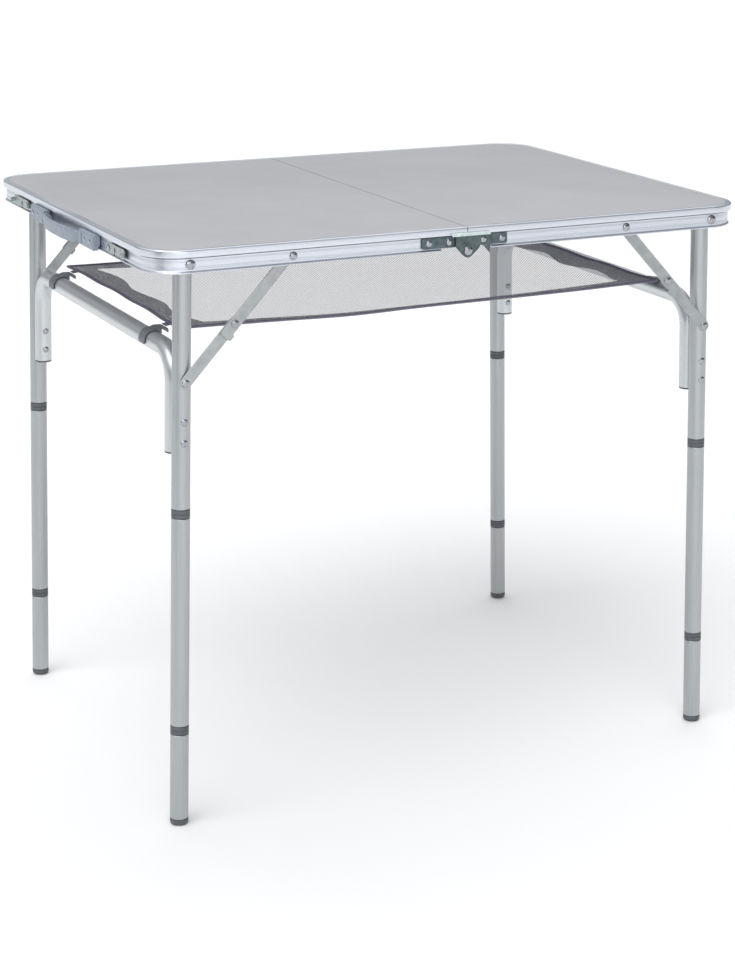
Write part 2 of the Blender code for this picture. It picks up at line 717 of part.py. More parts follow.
def make_foot(leg, side, facing, label, tube_end):
    """Foot plug whose lower face is cut level, on the ground."""
    name = f"foot_{label}"
    profile = [
        (0, -tube_end + FOOT_PLUG),
        (PLUG_RADIUS, -tube_end + FOOT_PLUG),
        (PLUG_RADIUS, -tube_end - RUN),
        (TUBE_RADIUS, -tube_end - RUN),
        (TUBE_RADIUS, -LEG_LENGTH - 0.004),
        (0, -LEG_LENGTH - 0.004),
    ]
    at = (0, facing * LEG_Y, 0)
    foot = turned_shape(name, profile, COLLAR_PLASTIC, leg, at)
    ground = bmesh.new()
    x, _ = leg_point(LEG_LENGTH)
    reach = 0.03
    low = (side * x - reach, facing * LEG_Y - reach, -0.03)
    high = (side * x + reach, facing * LEG_Y + reach, 0)
    add_box(ground, low, high)
    return boolean(foot, helper_object(name + "_ground", ground), "DIFFERENCE")


def make_hook(leg, side, facing, label):
    """Saddle snapped on the cross tube, with a curled tongue on its inner side for the net."""
    name = f"net_hook_{label}"
    level = -(PIVOT_Z - CROSS_TOP_Z) / math.cos(LEG_TILT)
    inner = TUBE_RADIUS + RUN
    outer = inner + HOOK_WALL
    saddle = arc((0, 0), outer, 196, 50, 12) + arc((0, 0), inner, 50, 196, 12)
    tongue = [
        (0.0015, outer - 0.0006),
        (0.0050, outer + 0.0014),
        (0.0150, outer + 0.0010),
        (0.0185, outer - 0.0020),
        (0.0185, outer - 0.0058),
        (0.0163, outer - 0.0058),
        (0.0160, outer - 0.0020),
        (0.0135, outer - 0.0006),
        (0.0070, outer - 0.0012),
    ]
    half = HOOK_WIDTH / 2
    at = (0, facing * HOOK_Y, level)
    hook = place(
        name, xz_plate(name, [(-side * x, z) for x, z in saddle], -half, half), HOOK_PLASTIC, at, leg
    )
    lip = xz_plate(name + "_tongue", [(-side * x, z) for x, z in tongue], -half * 0.8, half * 0.8)
    boolean(hook, place(name + "_tongue", lip, None, at, leg, helper=True), "UNION")
    return hook


# ---------------------------------------------------------------- braces
def link_outline(length, head, tail, half):
    """A strap along local +X from a pivot at the origin, with rounded or squared ends."""
    start = arc((0, 0), half, 90, 270, 6)
    if tail:
        end = [(length + tail, -half), (length + tail, half)]
    else:
        end = arc((length, 0), half, -90, 90, 6)
    return start + end


def brace_matrix(side, start):
    """Puts a link drawn along +X onto the brace's line, from its upper pivot downwards."""
    direction = Matrix.Rotation(BRACE_ANGLE, 4, "Y")
    mirror = Matrix.Diagonal((side, 1, 1, 1))
    return Matrix.Translation((side * start[0], 0, start[1])) @ mirror @ direction


def make_upper_link(side, facing, label):
    name = f"brace_upper_{label}"
    half = BRACE_WIDTH / 2
    low, high = sorted((facing * LINK_OUT, facing * (LINK_OUT + BRACE_THICK)))
    outline = link_outline(UPPER_LINK, 0, BRACE_OVERLAP, half)
    matrix = brace_matrix(side, (BRACE_RIM_X, PIVOT_Z))
    link = place(name, turned(xz_plate(name, outline, low, high), matrix), BRACE_STEEL)
    reach = UPPER_LINK + BRACE_OVERLAP
    outer = -half - RUN - BRACE_THICK
    low, high = sorted((facing * (LINK_OUT + SLIVER), facing * (LINK_OUT + BRACE_THICK - SLIVER)))
    shelf = ((reach - 0.009, low, outer), (reach - 0.001, high, -half + 0.001))
    low, high = sorted((facing * LINK_IN, facing * (LINK_OUT + BRACE_THICK / 2)))
    stop = ((reach - 0.009 + SLIVER, low, outer + SLIVER), (reach - 0.001 - SLIVER, high, -half - RUN))
    for piece, corners in (("shelf", shelf), ("stop", stop)):
        tab = bmesh.new()
        add_box(tab, *corners)
        bmesh.ops.transform(tab, matrix=matrix, verts=tab.verts)
        boolean(link, helper_object(f"{name}_{piece}", tab), "UNION")
    holes = bmesh.new()
    for x, z in ((BRACE_RIM_X, PIVOT_Z), BRACE_MIDDLE):
        span = sorted((facing * (LINK_OUT - 0.0007), facing * (LINK_OUT + BRACE_THICK + 0.003)))
        add_cylinder(holes, "Y", *span, (side * x, z), RIVET_RADIUS + RUN)
    return boolean(link, helper_object(name + "_holes", holes), "DIFFERENCE")


def make_lower_link(side, facing, label):
    name = f"brace_lower_{label}"
    half = BRACE_WIDTH / 2
    low, high = sorted((facing * LINK_IN, facing * (LINK_IN + BRACE_THICK)))
    outline = link_outline(LOWER_LINK, 0, 0, half)
    matrix = brace_matrix(side, BRACE_MIDDLE)
    link = place(name, turned(xz_plate(name, outline, low, high), matrix), BRACE_STEEL)
    rivets = bmesh.new()
    middle = (side * BRACE_MIDDLE[0], BRACE_MIDDLE[1])
    face = LINK_IN + BRACE_THICK
    shaft = sorted((facing * (face - 0.0008), facing * (LINK_HEAD + 0.0006)))
    add_cylinder(rivets, "Y", *shaft, middle, RIVET_RADIUS)
    washer = sorted((facing * (face - 0.0008), facing * (LINK_OUT - RUN)))
    add_cylinder(rivets, "Y", *washer, middle, RIVET_HEAD)
    rivet_head(rivets, facing * LINK_HEAD, facing * (LINK_HEAD + 0.0012), middle, RIVET_HEAD)
    leg_x, leg_z = leg_point(BRACE_ON_LEG)
    low_spot = (side * leg_x, leg_z)
    spacer = sorted((facing * (LEG_Y + TUBE_RADIUS + RUN), facing * (LINK_IN + 0.0008)))
    add_cylinder(rivets, "Y", *spacer, low_spot, RIVET_HEAD)
    rivet_head(rivets, facing * (face - 0.0004), facing * (face + 0.0012), low_spot, RIVET_HEAD)
    boolean(link, helper_object(name + "_rivets", rivets), "UNION")
    link.modifiers[-1].use_self = True
    return link


# ---------------------------------------------------------------- handle, latches, net
def make_bracket(facing, label):
    """Block on the left end wall that holds one end of the handle; its back clears the bead."""
    name = f"handle_bracket_{label}"
    wall, front = -HALF_X - 0.0003, -HALF_X - BRACKET_OUT
    over_bead = -HALF_X - BEAD_OUT - RUN
    outline = [
        (wall, LIP_BOTTOM - RUN),
        (front + 0.0015, LIP_BOTTOM - RUN),
        (front, LIP_BOTTOM - 0.0022),
        (front, RIM_BOTTOM + 0.001),
        (front + 0.0015, RIM_BOTTOM - 0.0005),
        (over_bead, RIM_BOTTOM - 0.0005),
        (over_bead, BEAD_TOP + RUN),
        (wall, BEAD_TOP + RUN),
    ]
    low, high = sorted((facing * BRACKET_INNER_Y, facing * (BRACKET_INNER_Y + BRACKET_LENGTH)))
    bracket = place(name, xz_plate(name, outline, low, high), HANDLE_PLASTIC)
    hole = bmesh.new()
    span = sorted((facing * (BRACKET_INNER_Y - 0.004), facing * (BRACKET_INNER_Y + 0.011)))
    add_cylinder(hole, "Y", *span, HANDLE_CENTRE, HANDLE_PIN + RUN)
    boolean(bracket, helper_object(name + "_hole", hole), "DIFFERENCE")
    rivet = bmesh.new()
    y = facing * (BRACKET_INNER_Y + BRACKET_LENGTH * 0.62)
    z = (LIP_BOTTOM + RIM_BOTTOM) / 2
    add_cylinder(rivet, "X", front - 0.0010, front + 0.001, (y, z), 0.0032)
    return boolean(bracket, helper_object(name + "_rivet", rivet), "UNION")


HANDLE_CENTRE = (-HALF_X - HANDLE_AXIS_OUT, TABLE_HEIGHT - HANDLE_AXIS_DROP)


def handle_bow(offset, steps=14):
    """(outward, y) points of the bow, this far outside its centre line."""
    points = []
    for i in range(steps + 1):
        angle = math.pi * i / steps
        across = math.copysign(abs(math.cos(angle)) ** 0.8, math.cos(angle))
        out = math.sin(angle) ** 0.8
        points.append((out * (HANDLE_BOW + offset), across * (HANDLE_HALF - 0.0026 + offset)))
    return points


def make_handle():
    """Bowed grip band on two stub pins, drooping on its stop below the outward line."""
    half = HANDLE_THICK / 2
    outline = handle_bow(half) + list(reversed(handle_bow(-half)))
    mesh = outline_mesh("carry_handle", outline, HANDLE_TALL)
    turn = Matrix.Rotation(math.pi, 4, "Z") @ Matrix.Rotation(HANDLE_DROOP, 4, "Y")
    spot = Matrix.Translation((HANDLE_CENTRE[0], 0, HANDLE_CENTRE[1]))
    handle = place("carry_handle", turned(mesh, spot @ turn), HANDLE_PLASTIC)
    ends = bmesh.new()
    for facing in (-1, 1):
        span = sorted((facing * (HANDLE_HALF - 0.006), facing * (HANDLE_HALF + 0.009)))
        add_cylinder(ends, "Y", *span, HANDLE_CENTRE, HANDLE_PIN)
        span = sorted((facing * (HANDLE_HALF - 0.006), facing * HANDLE_HALF))
        add_cylinder(ends, "Y", *span, HANDLE_CENTRE, 0.0048)
    boolean(handle, helper_object("carry_handle_pins", ends), "UNION")
    handle.modifiers[-1].use_self = True
    return handle


def make_latch(facing, label):
    """Hook plate on the left end wall: turned down, its slot takes the catch on the other half."""
    name = f"latch_{label}"
    slot_at = 2 * (TABLE_HEIGHT - LATCH_DROP - HINGE_Z)
    slot_half = CATCH_RADIUS + 0.0005
    tall = LATCH_HALF_TALL
    outline = [
        *arc((0, 0), tall, 90, 270, 8),
        (slot_at - slot_half, -tall),
        (slot_at - slot_half, 0.0002),
        (slot_at + slot_half, 0.0002),
        (slot_at + slot_half, -tall),
        (LATCH_LENGTH - 0.004, -tall),
        (LATCH_LENGTH, -tall + 0.003),
        (LATCH_LENGTH, tall - 0.003),
        (LATCH_LENGTH - 0.004, tall),
    ]
    mesh = outline_mesh(name, outline, LATCH_THICK)
    centre_x = -HALF_X - LATCH_OUT - LATCH_THICK / 2
    spot = (centre_x, facing * LATCH_Y, TABLE_HEIGHT - LATCH_DROP)
    upright = Matrix(((0, 0, 1, 0), (facing, 0, 0, 0), (0, 1, 0, 0), (0, 0, 0, 1)))
    latch = place(name, turned(mesh, Matrix.Translation(spot) @ upright), HINGE_STEEL)
    tab = bmesh.new()
    span = sorted((facing * (LATCH_Y + LATCH_LENGTH - 0.0015), facing * (LATCH_Y + LATCH_LENGTH)))
    low = (centre_x - LATCH_THICK / 2 - LATCH_TAB, span[0], spot[2] - tall + 0.0035)
    high = (centre_x, span[1], spot[2] + tall - 0.0035)
    add_box(tab, low, high)
    boolean(latch, helper_object(name + "_tab", tab), "UNION")
    hole = bmesh.new()
    add_cylinder(hole, "X", centre_x - 0.003, centre_x + 0.003, spot[1:], 0.0025 + RUN)
    return boolean(latch, helper_object(name + "_hole", hole), "DIFFERENCE")


def make_net():
    """Net shelf as a thin sheet that sags towards its middle."""
    bm = bmesh.new()
    bmesh.ops.create_grid(bm, x_segments=10, y_segments=6, size=0.5)
    for vert in bm.verts:
        u, v = vert.co.x * 2, vert.co.y * 2
        sag = NET_SAG * (1 - u * u) * (0.25 + 0.75 * (1 - v * v))
        vert.co = Vector((u * NET_LENGTH / 2, v * NET_WIDTH / 2, NET_TOP_Z - sag))
    net = place("net_shelf", mesh_from(bm, "net_shelf"), NET_CLOTH)
    shell = net.modifiers.new("thickness", "SOLIDIFY")
    shell.thickness = NET_THICK
    shell.offset = 0
    return net


# ---------------------------------------------------------------- assembly
rims = {label: make_rim(side, label) for side, label in ((-1, "left"), (1, "right"))}
add_end_studs(rims["left"], -1, "left", LATCH_OUT + LATCH_THICK + RUN + 0.0011, 0.0040, 0.0025, LATCH_DROP)
add_end_studs(rims["right"], 1, "right", CATCH_OUT, CATCH_HEAD, CATCH_RADIUS, LATCH_DROP)

for side, side_name in ((-1, "left"), (1, "right")):
    make_board(side, side_name)
    leg = empty(f"leg_frame_{side_name}", (side * LEG_PIVOT_X, 0, PIVOT_Z), -side * LEG_TILT)
    make_cross_tube(leg, side_name)
    for facing, end_name in ((-1, "front"), (1, "rear")):
        label = f"{side_name}_{end_name}"
        make_upper_tube(leg, side, facing, label)
        make_cross_plug(leg, facing, label)
        make_hook(leg, side, facing, label)
        make_collar(leg, facing, label, "upper", MIDDLE_TOP)
        middle = MIDDLE_TOP + COLLAR_HEIGHT + RUN
        make_section_tube(leg, facing, label, "middle", middle, middle + MIDDLE_TUBE_LENGTH)
        make_collar(leg, facing, label, "lower", LOWER_TOP)
        lower = LOWER_TOP + COLLAR_HEIGHT + RUN
        tube_end = LEG_LENGTH - FOOT_FLANGE
        make_section_tube(leg, facing, label, "lower", lower, tube_end)
        make_foot(leg, side, facing, label, tube_end)
        make_upper_link(side, facing, label)
        make_lower_link(side, facing, label)

for facing, end_name in ((-1, "front"), (1, "rear")):
    make_left_leaf(facing, end_name)
    make_right_leaf(facing, end_name)
    make_hinge_pin(facing, end_name)
    make_bracket(facing, end_name)
    make_latch(facing, end_name)
make_handle()
make_net()
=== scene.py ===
"""Looks of the folding camping table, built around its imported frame, in metres.

One section for each piece, in the order in which the table is put together: boards, rims, seam
hinges, leg frames, braces, net shelf, handle and latches. The camera and lights come last.
"""

import json
import math

import bmesh
import bpy
import numpy as np
from mathutils import Matrix, Vector


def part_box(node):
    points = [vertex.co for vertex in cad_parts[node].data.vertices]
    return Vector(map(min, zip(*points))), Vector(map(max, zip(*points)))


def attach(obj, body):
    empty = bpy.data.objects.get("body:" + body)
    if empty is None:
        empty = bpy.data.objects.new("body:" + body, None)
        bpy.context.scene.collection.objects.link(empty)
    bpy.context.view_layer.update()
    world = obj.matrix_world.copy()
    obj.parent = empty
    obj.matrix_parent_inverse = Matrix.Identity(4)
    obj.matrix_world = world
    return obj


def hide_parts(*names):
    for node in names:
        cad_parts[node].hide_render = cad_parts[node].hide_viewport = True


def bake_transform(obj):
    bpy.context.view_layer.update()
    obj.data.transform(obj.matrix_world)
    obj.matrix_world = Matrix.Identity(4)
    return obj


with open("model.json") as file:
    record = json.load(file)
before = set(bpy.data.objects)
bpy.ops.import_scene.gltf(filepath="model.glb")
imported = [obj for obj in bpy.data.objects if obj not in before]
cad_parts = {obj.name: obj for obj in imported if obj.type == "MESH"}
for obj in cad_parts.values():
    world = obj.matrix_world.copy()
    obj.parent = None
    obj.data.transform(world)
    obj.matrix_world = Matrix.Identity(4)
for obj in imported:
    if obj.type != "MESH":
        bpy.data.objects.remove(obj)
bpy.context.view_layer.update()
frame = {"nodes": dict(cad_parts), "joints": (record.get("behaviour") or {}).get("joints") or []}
hinge_of = {joint["name"]: joint for joint in frame["joints"]}
ENDS = {"front": -1, "rear": 1}
SIDES = {"left": -1, "right": 1}


# ------------------------------------------------------------------ table boards
# Two boards of light grey melamine laminate on fibreboard, pressed into the rims' ledges. The
# decor foil has a dry, lightly pebbled face and sharp cut edges that the rim's lip covers.
SEAM_X = hinge_of["centre_fold"]["pos_m"][0]
RIM_LOW, RIM_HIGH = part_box("rim_left")
TOP_Z = RIM_HIGH.z
RIM_BASE_Z = RIM_LOW.z
LIP_OUT = 0.004
WALL_Y = RIM_HIGH.y - LIP_OUT
WALL_X = 0.396
CORNER = 0.044
LIP_IN = 0.003
BOARD_GAP = 0.0002
BOARD_EASE = 0.0004


def add_piece(name, rings, closed=False, caps=True, smooth=35):
    """Rings of points, each (count, 3), joined in order into one skin with its ends closed.

    Neighbouring points of neighbouring rings make a quad. closed joins the last ring to the
    first, as on a tube with a bore. Edges sharper than the smooth angle stay crisp.
    """
    rings = np.asarray(rings, float)
    many, count = rings.shape[:2]
    index = np.arange(many * count).reshape(many, count)
    start = index if closed else index[:-1]
    end = np.roll(index, -1, 0) if closed else index[1:]
    quads = np.stack([start, np.roll(start, -1, 1), np.roll(end, -1, 1), end], -1).reshape(-1, 4)
    faces = quads.tolist()
    if caps and not closed:
        faces += [index[0][::-1].tolist(), index[-1].tolist()]
    mesh = bpy.data.meshes.new(name)
    mesh.from_pydata(rings.reshape(-1, 3).tolist(), [], faces)
    shape = bmesh.new()
    shape.from_mesh(mesh)
    bmesh.ops.recalc_face_normals(shape, faces=shape.faces)
    shape.to_mesh(mesh)
    shape.free()
    mesh.shade_smooth()
    mesh.set_sharp_from_angle(angle=math.radians(smooth))
    piece = bpy.data.objects.new(name, mesh)
    bpy.context.collection.objects.link(piece)
    return piece


def join_pieces(name, parts):
    """One object from several, with their points kept where they are."""
    shape = bmesh.new()
    for part in parts:
        shape.from_mesh(part.data)
        bpy.data.objects.remove(part)
    mesh = bpy.data.meshes.new(name)
    shape.to_mesh(mesh)
    shape.free()
    mesh.set_sharp_from_angle(angle=math.radians(35))
    piece = bpy.data.objects.new(name, mesh)
    bpy.context.collection.objects.link(piece)
    return piece


def finish_piece(piece, surface, body, slot, *nodes):
    """Gives the piece its material, its body and the CAD nodes it stands for. The slot argument is not
    used.
    """
    piece.data.materials.clear()
    piece.data.materials.append(surface)
    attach(piece, body)
    if nodes:
        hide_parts(*nodes)
    return piece


def round_arc(centre, radius, start, end, steps):
    """Points on a circle's arc, from start to end in degrees."""
    turn = np.radians(np.linspace(start, end, steps + 1))
    return np.stack([centre[0] + radius * np.cos(turn), centre[1] + radius * np.sin(turn)], 1)


def rectangle(left, right, low, high):
    """A rectangle's four corners, in order round it."""
    return np.array([(left, low), (right, low), (right, high), (left, high)])


def along_path(points):
    """Unit vectors along a path, each from its point's two neighbours."""
    ahead = np.gradient(points, axis=0)
    return ahead / np.linalg.norm(ahead, axis=1, keepdims=True)


def half_plan(side, inset, steps=20):
    """(x, y) round one half's three outer sides, this far inside the wall's face.

    The plan starts and ends at the seam, and its two corners are quarter circles.
    """
    radius = CORNER - inset
    end, edge = WALL_X - inset, WALL_Y - inset
    front = round_arc((end - radius, -edge + radius), radius, -90, 0, steps)
    rear = front[::-1] * [1, -1]
    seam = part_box("rim_right")[0].x - SEAM_X
    plan = np.vstack([[[seam, -edge]], front, rear, [[seam, edge]]])
    return plan * [side, 1] + [SEAM_X, 0]


def rgb(code):
    """Linear colour of an sRGB hex value, by the sRGB transfer curve."""
    values = [int(code[i : i + 2], 16) / 255 for i in (0, 2, 4)]
    return [v / 12.92 if v <= 0.04045 else ((v + 0.055) / 1.055) ** 2.4 for v in values] + [1.0]


def add_node(tree, kind, settings=None, **sockets):
    """Adds a node, sets its settings, and fills or links each named socket.

    A socket's name is written with underscores. A tuple (node, output name) makes a link.
    """
    made = tree.nodes.new("ShaderNode" + kind)
    for key, value in (settings or {}).items():
        setattr(made, key, value)
    for key, value in sockets.items():
        label = key.replace("_", " ")
        socket = made.inputs[int(key[1:]) if key[0] == "i" and key[1:].isdigit() else label]
        if isinstance(value, tuple) and isinstance(value[0], bpy.types.Node):
            tree.links.new(value[0].outputs[value[1]], socket)
        else:
            socket.default_value = value
    return made


def new_surface(name):
    """An empty material with its Principled shader, and the object's own coordinates."""
    surface = bpy.data.materials.new(name)
    surface.use_nodes = True
    tree = surface.node_tree
    return surface, tree, tree.nodes["Principled BSDF"], add_node(tree, "TexCoord")


def fill(shader, **values):
    """Sets plain values on the shader's own sockets."""
    for key, value in values.items():
        shader.inputs[key.replace("_", " ")].default_value = value


def mottle(tree, place, scale, detail, low, high):
    """Noise in the object's own coordinates, stretched by scale (x, y, z), spread low to high."""
    spread = add_node(tree, "Mapping", Vector=(place, "Object"), Scale=scale)
    noise = add_node(tree, "TexNoise", Vector=(spread, "Vector"), Scale=1.0, Detail=detail)
    return add_node(
        tree, "MapRange", Value=(noise, "Fac"), From_Min=0.3, From_Max=0.7, To_Min=low, To_Max=high
    )


def mix_colours(tree, factor, first, second, blend="MIX"):
    """A colour between two; each input is a value or a (node, output) pair."""
    return add_node(
        tree, "Mix", {"data_type": "RGBA", "blend_type": blend}, i0=factor, i6=first, i7=second
    )


def shade_between(tree, factor, dark, light):
    """A colour between two hex values, by the factor node's result."""
    return mix_colours(tree, (factor, "Result"), rgb(dark), rgb(light))


def feed(tree, node, shader, socket):
    """Links a node's result to one of the shader's sockets."""
    tree.links.new(node.outputs["Result"], shader.inputs[socket])


def add_bump(tree, shader, height, distance, strength=1.0):
    """Bump on the shader from the height node's result, with this depth in metres."""
    bump = add_node(tree, "Bump", Height=height, Distance=distance, Strength=strength)
    tree.links.new(bump.outputs["Normal"], shader.inputs["Normal"])


def maths(tree, operation, first, second=0.0):
    """One Math node; each input is a number or a (node, output) pair."""
    return (add_node(tree, "Math", {"operation": operation}, i0=first, i1=second), 0)


def melamine_laminate():
    """Melamine decor laminate: matt light grey with a fine pebble, slightly uneven in tone."""
    surface, tree, shader, place = new_surface("melamine_laminate")
    tone = mottle(tree, place, (9, 9, 9), 3, 0.0, 1.0)
    feed(tree, shade_between(tree, tone, "A9A9AC", "AEAEB1"), shader, "Base Color")
    pebble = mottle(tree, place, (900, 900, 900), 2, 0.0, 1.0)
    feed(tree, mottle(tree, place, (30, 30, 30), 4, 0.50, 0.58), shader, "Roughness")
    add_bump(tree, shader, (pebble, "Result"), 0.00004, 0.6)
    return surface


def cut_board_edge():
    """Sawn fibreboard sealed with a dark grey lacquer, dull, where the two halves meet."""
    surface, tree, shader, place = new_surface("sealed_board_edge")
    fibres = mottle(tree, place, (600, 600, 1500), 3, 0.0, 1.0)
    feed(tree, shade_between(tree, fibres, "3C3C3F", "56565A"), shader, "Base Color")
    fill(shader, Roughness=0.8)
    return surface


laminate = melamine_laminate()
edge_band = cut_board_edge()
for side_name, side in SIDES.items():
    node = f"top_board_{side_name}"
    low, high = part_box(node)[0].z, TOP_Z - BOARD_GAP
    levels = (
        (0.0, low),
        (0.0, high - BOARD_EASE * 0.75),
        (BOARD_EASE / 4, high - BOARD_EASE / 4),
        (BOARD_EASE, high),
    )
    board_rings = []
    for inset, level in levels:
        plan = half_plan(side, LIP_IN + BOARD_GAP + inset)
        board_rings.append(np.column_stack([plan, np.full(len(plan), level)]))
    board = add_piece(f"board_{side_name}", board_rings)
    finish_piece(board, laminate, f"{side_name}_half", "laminate", node)
    board.data.materials.append(edge_band)
    for face in board.data.polygons:
        if abs(face.normal.x) > 0.6 and abs(face.center.x - SEAM_X) < 0.002:
            face.material_index = 1


# ------------------------------------------------------------------ rims
# Each half is edged with one length of extruded aluminium, satin anodised, bent round two
# corners: a rounded lip over a shadow groove, a flat face with fine drawn ribs, and a bottom bead.
RIM_WALL = 0.0016
LIP_HEIGHT = 0.0092
BEAD_OUT = 0.0018
BEAD_HEIGHT = 0.0022
LEDGE_REACH = 0.011
LEDGE_LOW = TOP_Z - 0.0068
LEDGE_THICK = 0.0014
RIB_DEPTH = 0.00028
RIB_LEVELS = (0.0052, 0.0064, 0.0076, 0.0140, 0.0152)
GROOVE_Z = TOP_Z - LIP_HEIGHT
GROOVE_TALL = 0.0014
GROOVE_DEEP = 0.0010
NOTCH_REACH = 0.034
NOTCH_TOP = RIM_BASE_Z + BEAD_HEIGHT + BEAD_OUT + 0.0004


def rim_section():
    """(outward, z) of the extrusion, starting at the bottom bead's inner corner."""
    bead_radius = BEAD_HEIGHT / 2
    bead = round_arc((BEAD_OUT - bead_radius, RIM_BASE_Z + bead_radius), bead_radius, -90, 75, 7)
    ribs = []
    for height in RIB_LEVELS:
        level = RIM_BASE_Z + height
        ribs += [(0, level - 0.0004), (-RIB_DEPTH, level - 0.0002), (-RIB_DEPTH, level + 0.0002)]
        ribs += [(0, level + 0.0004)]
    lip_radius, under_radius, inner_radius = 0.0022, 0.0012, 0.0008
    upper = round_arc((LIP_OUT - lip_radius, TOP_Z - lip_radius), lip_radius, 0, 90, 8)
    lower = round_arc((LIP_OUT - under_radius, GROOVE_Z + under_radius), under_radius, -90, 0, 5)
    inner = round_arc((-LIP_IN + inner_radius, TOP_Z - inner_radius), inner_radius, 90, 180, 4)
    groove = [(0, GROOVE_Z - GROOVE_TALL), (-GROOVE_DEEP, GROOVE_Z - GROOVE_TALL + 0.0002)]
    ledge_top = LEDGE_LOW + LEDGE_THICK
    points = [
        [(-RIM_WALL, RIM_BASE_Z)],
        bead,
        [(0, RIM_BASE_Z + BEAD_HEIGHT + 0.0012)],
        ribs,
        groove,
        [(-GROOVE_DEEP, GROOVE_Z)],
        lower,
        upper,
        inner,
        [(-LIP_IN, ledge_top), (-LEDGE_REACH, ledge_top), (-LEDGE_REACH, LEDGE_LOW)],
        [(-RIM_WALL, LEDGE_LOW)],
    ]
    return np.vstack([np.asarray(part, float) for part in points])


def carried_section(section, places, outward):
    """The section set at each place of a plan, with its first axis along that place's outward."""
    across = section[None, :, :1] * outward[:, None, :]
    flat = places[:, None, :] + across
    level = np.broadcast_to(section[None, :, 1:], (len(places), len(section), 1))
    return np.concatenate([flat, level], 2)


def notched(section):
    """The section with everything under the hinge's notch pressed up to the notch's top."""
    cut = section.copy()
    under = cut[:, 1] < NOTCH_TOP
    cut[under, 0] = np.minimum(cut[under, 0], 0)
    cut[under, 1] = NOTCH_TOP
    return cut


def anodised_rim():
    """Extruded aluminium, satin anodised: a cool silver with faint lengthwise drawing lines.

    The band from the groove up to the lip's underside is painted dark grey, as painted shade under the lip.
    """
    surface, tree, shader, place = new_surface("anodised_extrusion")
    lines = mottle(tree, place, (3, 3, 1600), 3, 0.0, 1.0)
    tint = shade_between(tree, lines, "CFD4DC", "DDE1E8")
    # Painted shade: a dark grey band in the groove under the lip, where the lip shades the wall.
    apart = add_node(tree, "SeparateXYZ", i0=(place, "Object"))
    above = maths(tree, "GREATER_THAN", (apart, "Z"), GROOVE_Z - GROOVE_TALL)
    below = maths(tree, "LESS_THAN", (apart, "Z"), GROOVE_Z + 0.0001)
    groove_shade_mask = maths(tree, "MULTIPLY", above, below)
    tint_with_groove_shade = mix_colours(tree, groove_shade_mask, (tint, "Result"), rgb("6B7078"))
    feed(tree, tint_with_groove_shade, shader, "Base Color")
    feed(tree, mottle(tree, place, (6, 6, 900), 3, 0.26, 0.38), shader, "Roughness")
    fill(shader, Metallic=1.0)
    add_bump(tree, shader, (lines, "Result"), 0.00001, 0.5)
    return surface


rim_metal = anodised_rim()
section = rim_section()
for side_name, side in SIDES.items():
    plan = half_plan(side, 0.0, 28)
    ahead = along_path(plan)
    outward = np.stack([ahead[:, 1], -ahead[:, 0]], 1) * side
    outward[[0, 1, -2, -1]] = np.round(outward[[0, 1, -2, -1]])
    stop_x = SEAM_X + side * NOTCH_REACH
    first_stop, last_stop = np.array([[stop_x, plan[0, 1]]]), np.array([[stop_x, plan[-1, 1]]])
    first_face, last_face = outward[:1], outward[-1:]
    pressed = notched(section)
    rim_rings = np.concatenate([
        carried_section(pressed, plan[:1], first_face),
        carried_section(pressed, first_stop, first_face),
        carried_section(section, first_stop, first_face),
        carried_section(section, plan[1:-1], outward[1:-1]),
        carried_section(section, last_stop, last_face),
        carried_section(pressed, last_stop, last_face),
        carried_section(pressed, plan[-1:], last_face),
    ])
    rim = add_piece(f"edge_rim_{side_name}", rim_rings, smooth=28)
    finish_piece(rim, rim_metal, f"{side_name}_half", "rim", f"rim_{side_name}")


# ------------------------------------------------------------------ rivets of the rims
# Domed steel rivets, zinc-plated and polished by the setting tool. The bigger one at each corner
# is the leg's pivot, on a spacer inside the rim; the next one holds the top of the brace.
PIVOT_Z = hinge_of["left_leg_fold"]["pos_m"][2]
LEG_Y = (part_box("foot_left_rear")[0].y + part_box("foot_left_rear")[1].y) / 2
TUBE_RADIUS = (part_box("foot_left_rear")[1].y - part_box("foot_left_rear")[0].y) / 2
LINK_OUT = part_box("brace_upper_left_rear")[1].y
RUN = 0.0004
BACK_STEP = 0.0012


def turned_rings(profile, origin, axis, sides=32):
    """A turned shape: each (distance along the axis, radius) becomes a circle round the axis."""
    profile = np.asarray(profile, float)
    axis = np.asarray(axis, float) / np.linalg.norm(axis)
    helper = np.array([0.0, 0.0, 1.0]) if abs(axis[2]) < 0.9 else np.array([1.0, 0.0, 0.0])
    first = np.cross(axis, helper)
    first /= np.linalg.norm(first)
    second = np.cross(axis, first)
    turn = np.linspace(0, 2 * math.pi, sides, endpoint=False)
    circle = np.cos(turn)[:, None] * first + np.sin(turn)[:, None] * second
    centres = np.asarray(origin, float) + profile[:, :1] * axis
    return centres[:, None, :] + profile[:, 1, None, None] * circle


def turned(name, profile, origin, axis, sides=32):
    """One turned piece from its (distance along the axis, radius) profile."""
    return add_piece(name, turned_rings(profile, origin, axis, sides))


def rod(name, start, end, radius, origin, axis, sides=24):
    """A plain round bar, from start to end along the axis."""
    return turned(name, [(start, radius), (end, radius)], origin, axis, sides)


def dome_profile(start, height, radius, steps=7):
    """A flat-backed dome: its radius falls by a quarter ellipse over its height."""
    turn = np.radians(np.linspace(0, 86, steps))
    return [(start, radius * 0.94)] + [
        (start + height * (0.12 + 0.88 * math.sin(t)), radius * math.cos(t)) for t in turn
    ]


